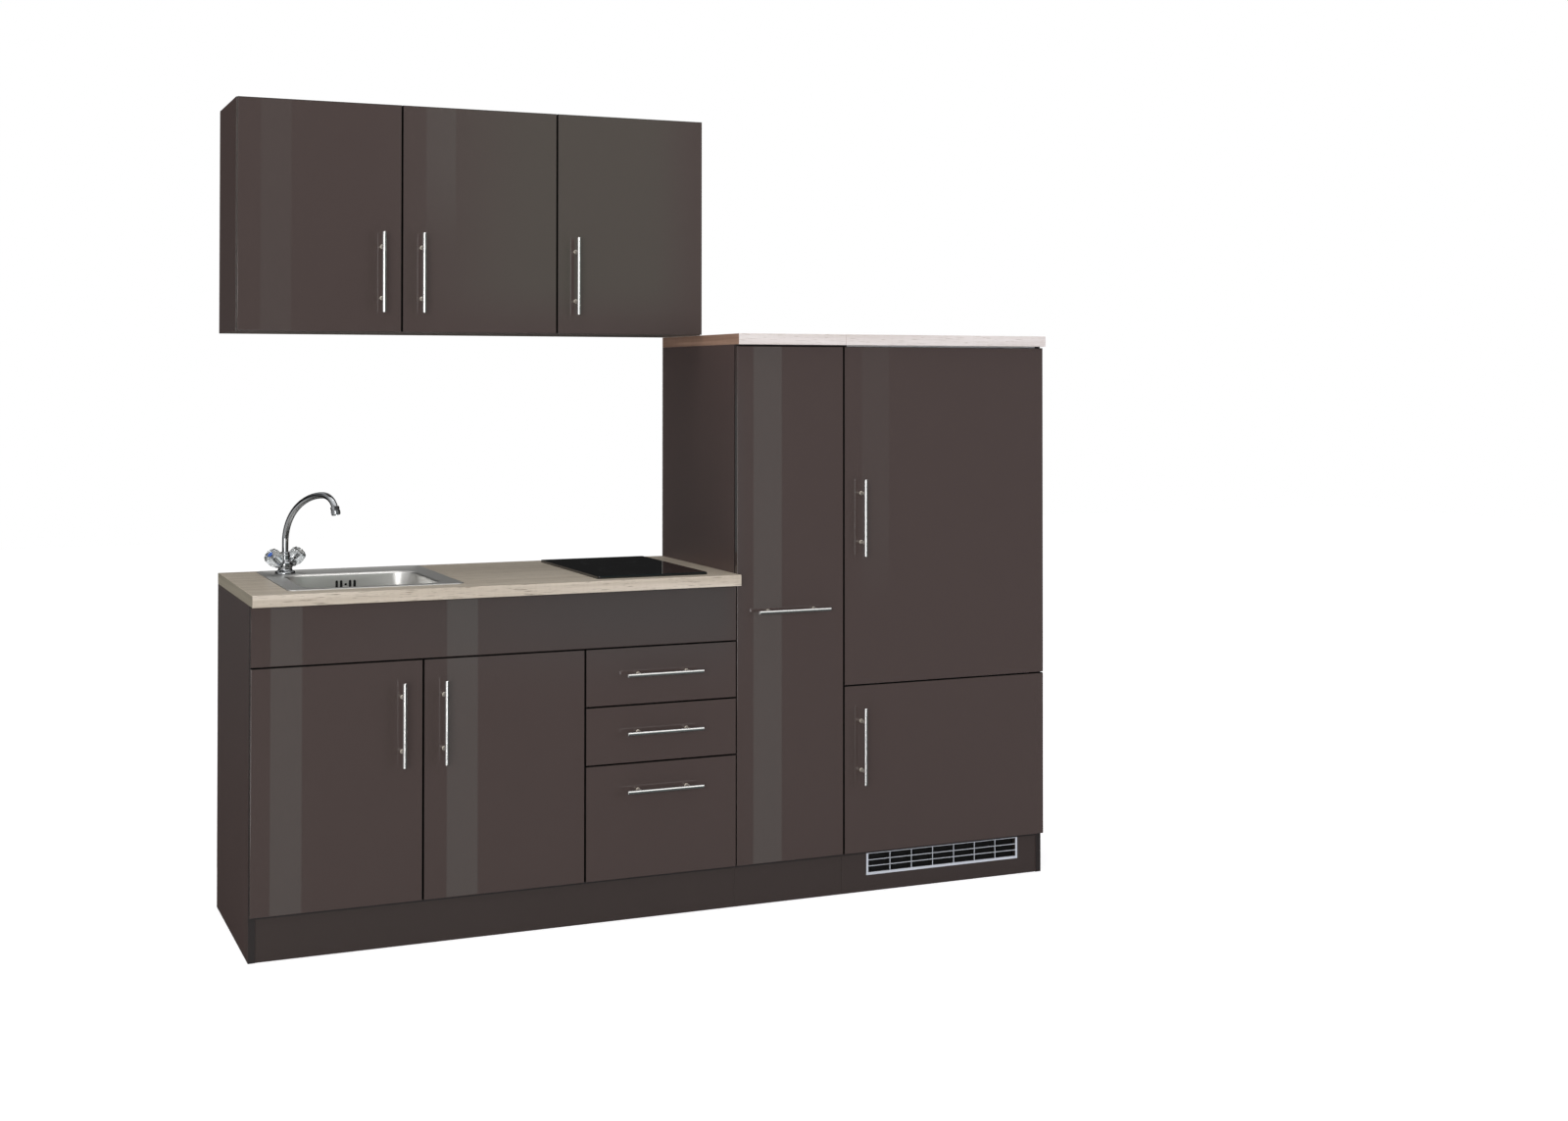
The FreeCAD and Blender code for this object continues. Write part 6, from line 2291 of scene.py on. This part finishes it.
@dataclass
class Studio:
    """A pale floor, soft light, the surroundings that gloss surfaces mirror, and the camera."""

    place: Point = (-1.71881, -4.98635, 1.34408)
    pitch: float = QUARTER + 0.01405
    yaw: float = -0.42532
    lens: float = 45.665
    shift: Point = (-0.0313, -0.1332)
    strips: tuple[Strip, ...] = (
        Strip(0.38, -8.75, 0.20, -2.4, 1.4),
        Strip(0.38, -8.75, 0.20, 1.0, 4.2, foot_fade=0.5, glow=0.2),
        Strip(0.77, -5.65, 0.16, -2.0, 0.8),
        Strip(0.77, -5.65, 0.16, 1.9, 3.6, foot_fade=0.7, glow=0.3),
        Strip(3.25, -7.55, 0.20, -2.4, 2.9),
        Strip(4.03, -7.55, 0.20, -0.3, 2.9, foot_fade=0.7, glow=0.16),
    )
    strip_tint: Colour = (0.8, 1.0, 0.95, 1.0)
    lamps: tuple[tuple[str, Lamp], ...] = (
        ("key", Lamp((-4.4, -8.4, 1.1), (0, 0, 0.9), 4.0, 400.0)),
        ("fill", Lamp((3.5, -4.5, 1.3), (0.2, 0, 0.9), 2.4, 62.0, (0.85, 0.82, 1.0), mirrored=False)),
        ("top", Lamp((-0.4, -0.1, 4.2), (-0.2, 0, 0.8), 3.0, 66.0)),
    )
    room_front: float = 0.12
    room_back: float = 0.02
    room_above: float = 0.78
    softbox_glow: float = 1.3
    left_glow: float = 0.85
    window_from: float = 0.193
    window_full: float = 0.29
    window_glow: float = 0.44
    window_tint: Colour = (0.66, 1.0, 0.78, 1.0)
    sill_glow: float = 0.2
    sill_tint: Colour = (0.25, 0.9, 1.0, 1.0)
    ambient: float = 0.45
    floor_half: float = 12.0
    floor_grey: Colour = (0.95, 0.95, 0.95, 1.0)
    floor_roughness: float = 0.9
    floor_glow: float = 0.6

    def build(self) -> None:
        """Set up everything round the object."""
        bpy.context.scene.view_settings.view_transform = "Standard"
        self.camera()
        self.world()
        self.floor()
        for name, lamp in self.lamps:
            self.hang(name, lamp)
        for number, strip in enumerate(self.strips):
            self.stand(number, strip)

    def camera(self) -> None:
        """Stand the camera where the photograph was taken from."""
        data = bpy.data.cameras.new("photo_view")
        data.sensor_fit, data.sensor_width, data.lens = "HORIZONTAL", 36.0, self.lens
        data.shift_x, data.shift_y = self.shift
        made = in_scene("photo_view", data)
        made.location, made.rotation_euler = self.place, (self.pitch, 0.0, self.yaw)
        bpy.context.scene.camera = made

    def world(self) -> None:
        """White to the camera, soft grey light on dull surfaces, and dim surroundings in gloss."""
        world = bpy.data.worlds.new("studio")
        world.use_nodes = True
        tree = world.node_tree
        rays = add_node(tree, "ShaderNodeLightPath").outputs
        way = add_node(tree, "ShaderNodeTexCoord").outputs["Generated"]
        parts = add_node(tree, "ShaderNodeSeparateXYZ", {"Vector": way}).outputs
        at = {axis: parts[axis] for axis in "XYZ"} | {kind: rays[f"Is {kind} Ray"] for kind in (
            "Camera", "Glossy", "Transmission",
        )}
        lay_out(tree, at, (
            ("level", "fade", "Y", -0.2, 0.3, self.room_front, self.room_back),
            ("leftwards", "fade", "X", -0.25, -0.6, 0.0, self.left_glow), ("ahead", "fade", "Y", 0.3, 0.0),
            ("left", "MULTIPLY", "leftwards", "ahead"), ("under", "fade", "Z", 0.6, 0.3),
            ("left wall", "MULTIPLY", "left", "under"), ("lower", "ADD", "level", "left wall"),
            ("rise", "fade", "Z", 0.3, 0.8), ("walls", "mix", "rise", "lower", self.room_above),
            ("softbox foot", "fade", "Z", 0.4, 0.5),
            ("softbox top", "fade", "Z", 0.9, 0.8, 0.0, self.softbox_glow),
            ("softbox", "MULTIPLY", "softbox foot", "softbox top"), ("in front", "fade", "Y", -0.1, -0.3),
            ("front box", "MULTIPLY", "softbox", "in front"), ("room", "ADD", "walls", "front box"),
            ("forwards", "MULTIPLY", "Y", -1.0), ("bearing", "DIVIDE", "X", "forwards"),
            ("window left", "fade", "bearing", self.window_from, self.window_full),
            ("window right", "fade", "bearing", 0.38, 0.345, 0.3, 1.0),
            ("opening", "MULTIPLY", "window left", "window right"), ("front half", "LESS_THAN", "Y", 0.0),
            ("window across", "MULTIPLY", "opening", "front half"),
            ("window foot", "fade", "Z", 0.012, 0.05), ("window top", "fade", "Z", 0.4, 0.2),
            ("window up", "MULTIPLY", "window foot", "window top"),
            ("window", "MULTIPLY", "window across", "window up"),
            ("tinted", "tint", "window", WHITE, self.window_tint),
            ("sill left", "fade", "bearing", 0.12, 0.34), ("sill right", "fade", "bearing", 0.41, 0.385),
            ("sill across", "MULTIPLY", "sill left", "sill right"),
            ("sill foot", "fade", "Z", -0.165, -0.115), ("sill top", "fade", "Z", 0.02, -0.02),
            ("sill up", "MULTIPLY", "sill foot", "sill top"), ("sill", "MULTIPLY", "sill across", "sill up"),
            ("cooled", "tint", "sill", "tinted", self.sill_tint),
            ("sill lit", "MULTIPLY_ADD", "sill", self.sill_glow, "room"),
            ("lit", "MULTIPLY_ADD", "window", self.window_glow, "sill lit"),
            ("dull", "mix", "Glossy", self.ambient, "lit"), ("seen", "MAXIMUM", "Camera", "Transmission"),
            ("plain", "SUBTRACT", 1.0, "Glossy"), ("colour", "tint", "plain", "cooled", WHITE),
            ("strength", "mix", "seen", "dull", 1.0),
        ))
        feed(tree.nodes["Background"], {"Color": at["colour"], "Strength": at["strength"]})
        bpy.context.scene.world = world

    def floor(self) -> None:
        """Lay a pale floor that reads near white and still keeps the soft shadow."""
        half = self.floor_half
        finish, tree = new_material("pale_floor")
        seen = add_node(tree, "ShaderNodeLightPath").outputs["Is Camera Ray"]
        glow = add_node(tree, "ShaderNodeMath", {0: seen, 1: self.floor_glow}, operation="MULTIPLY")
        feed(tree.nodes["Principled BSDF"], {
            "Base Color": self.floor_grey, "Roughness": self.floor_roughness, "Specular IOR Level": 0.0,
            "Emission Color": WHITE, "Emission Strength": glow,
        })
        corners = [(-half, -half, 0), (half, -half, 0), (half, half, 0), (-half, half, 0)]
        self.sheet("studio_floor", corners, finish, ("glossy",))

    def sheet(self, name: str, corners: Sequence[Point], finish: Material, unseen: Sequence[str]) -> None:
        """Put a flat sheet in the studio.

        Args:
            name: The sheet's name.
            corners: Its corners.
            finish: Its material.
            unseen: The kinds of light that pass it by.
        """
        mesh = bpy.data.meshes.new(name)
        mesh.from_pydata(corners, [], [(0, 1, 2, 3)])
        mesh.materials.append(finish)
        made = in_scene(name, mesh)
        for kind in unseen:
            setattr(made, f"visible_{kind}", False)
        made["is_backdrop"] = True

    def hang(self, name: str, lamp: Lamp) -> None:
        """Hang one lamp, which the camera doesn't see.

        Args:
            name: The lamp's name.
            lamp: The lamp.
        """
        data = bpy.data.lights.new(name, "AREA")
        data.shape, data.size, data.energy, data.color = "SQUARE", lamp.size, lamp.watts, lamp.tint
        made = in_scene(name, data)
        at = Vector(lamp.at)
        made.matrix_world = facing(at - Vector(lamp.target), at)
        made.visible_camera, made.visible_glossy = False, lamp.mirrored

    def stand(self, number: int, strip: Strip) -> None:
        """Stand one strip that only gloss surfaces see.

        Args:
            number: The strip's number.
            strip: The strip.
        """
        finish, tree = new_material(f"strip_light_{number}")
        tree.nodes.remove(tree.nodes["Principled BSDF"])
        place = add_node(tree, "ShaderNodeTexCoord").outputs["Object"]
        high = add_node(tree, "ShaderNodeSeparateXYZ", {"Vector": place}).outputs["Z"]
        glow = lay_out(tree, {"high": high}, (
            ("head", "fade", "high", strip.high - strip.fade, strip.high, strip.glow, 0.0),
            ("foot", "fade", "high", strip.low, strip.low + strip.foot_fade),
            ("glow", "MULTIPLY", "head", "foot"),
        ))["glow"]
        shine = add_node(tree, "ShaderNodeEmission", {"Color": self.strip_tint, "Strength": glow})
        clear = add_node(tree, "ShaderNodeBsdfTransparent")
        both = add_node(tree, "ShaderNodeAddShader", {0: shine, 1: clear})
        feed(tree.nodes["Material Output"], {"Surface": both})
        left, right = strip.x - strip.width / 2, strip.x + strip.width / 2
        corners = [(x, strip.y, z) for x, z in (
            (left, strip.low), (right, strip.low), (right, strip.high), (left, strip.high),
        )]
        unseen = ("camera", "diffuse", "transmission", "shadow", "volume_scatter")
        self.sheet(f"studio_strip_{number}", corners, finish, unseen)


def main() -> None:
    """Build the kitchen's looks and the studio round it."""
    logging.basicConfig(level=logging.INFO, format="%(name)s %(message)s")
    model = Model()
    screws = screw_rule()
    for part in (
        Fronts(model), Handles(model, screws), Boards(model), Hardware(model, screws), Sink(model),
        Tap(model), Hob(model), Grille(model), Drawers(model, screws), Pantry(model, screws), Fridge(model),
    ):
        part.build()
    Studio().build()
    {"cad": plain(model.box_at_load), "visual": plain(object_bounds())}


def plain(box: Sequence[Sequence[float]]) -> list[list[float]]:
    """Turn a box's corners to plain lists of numbers."""
    return [[float(value) for value in corner] for corner in box]


if __name__ == "__main__":
    main()
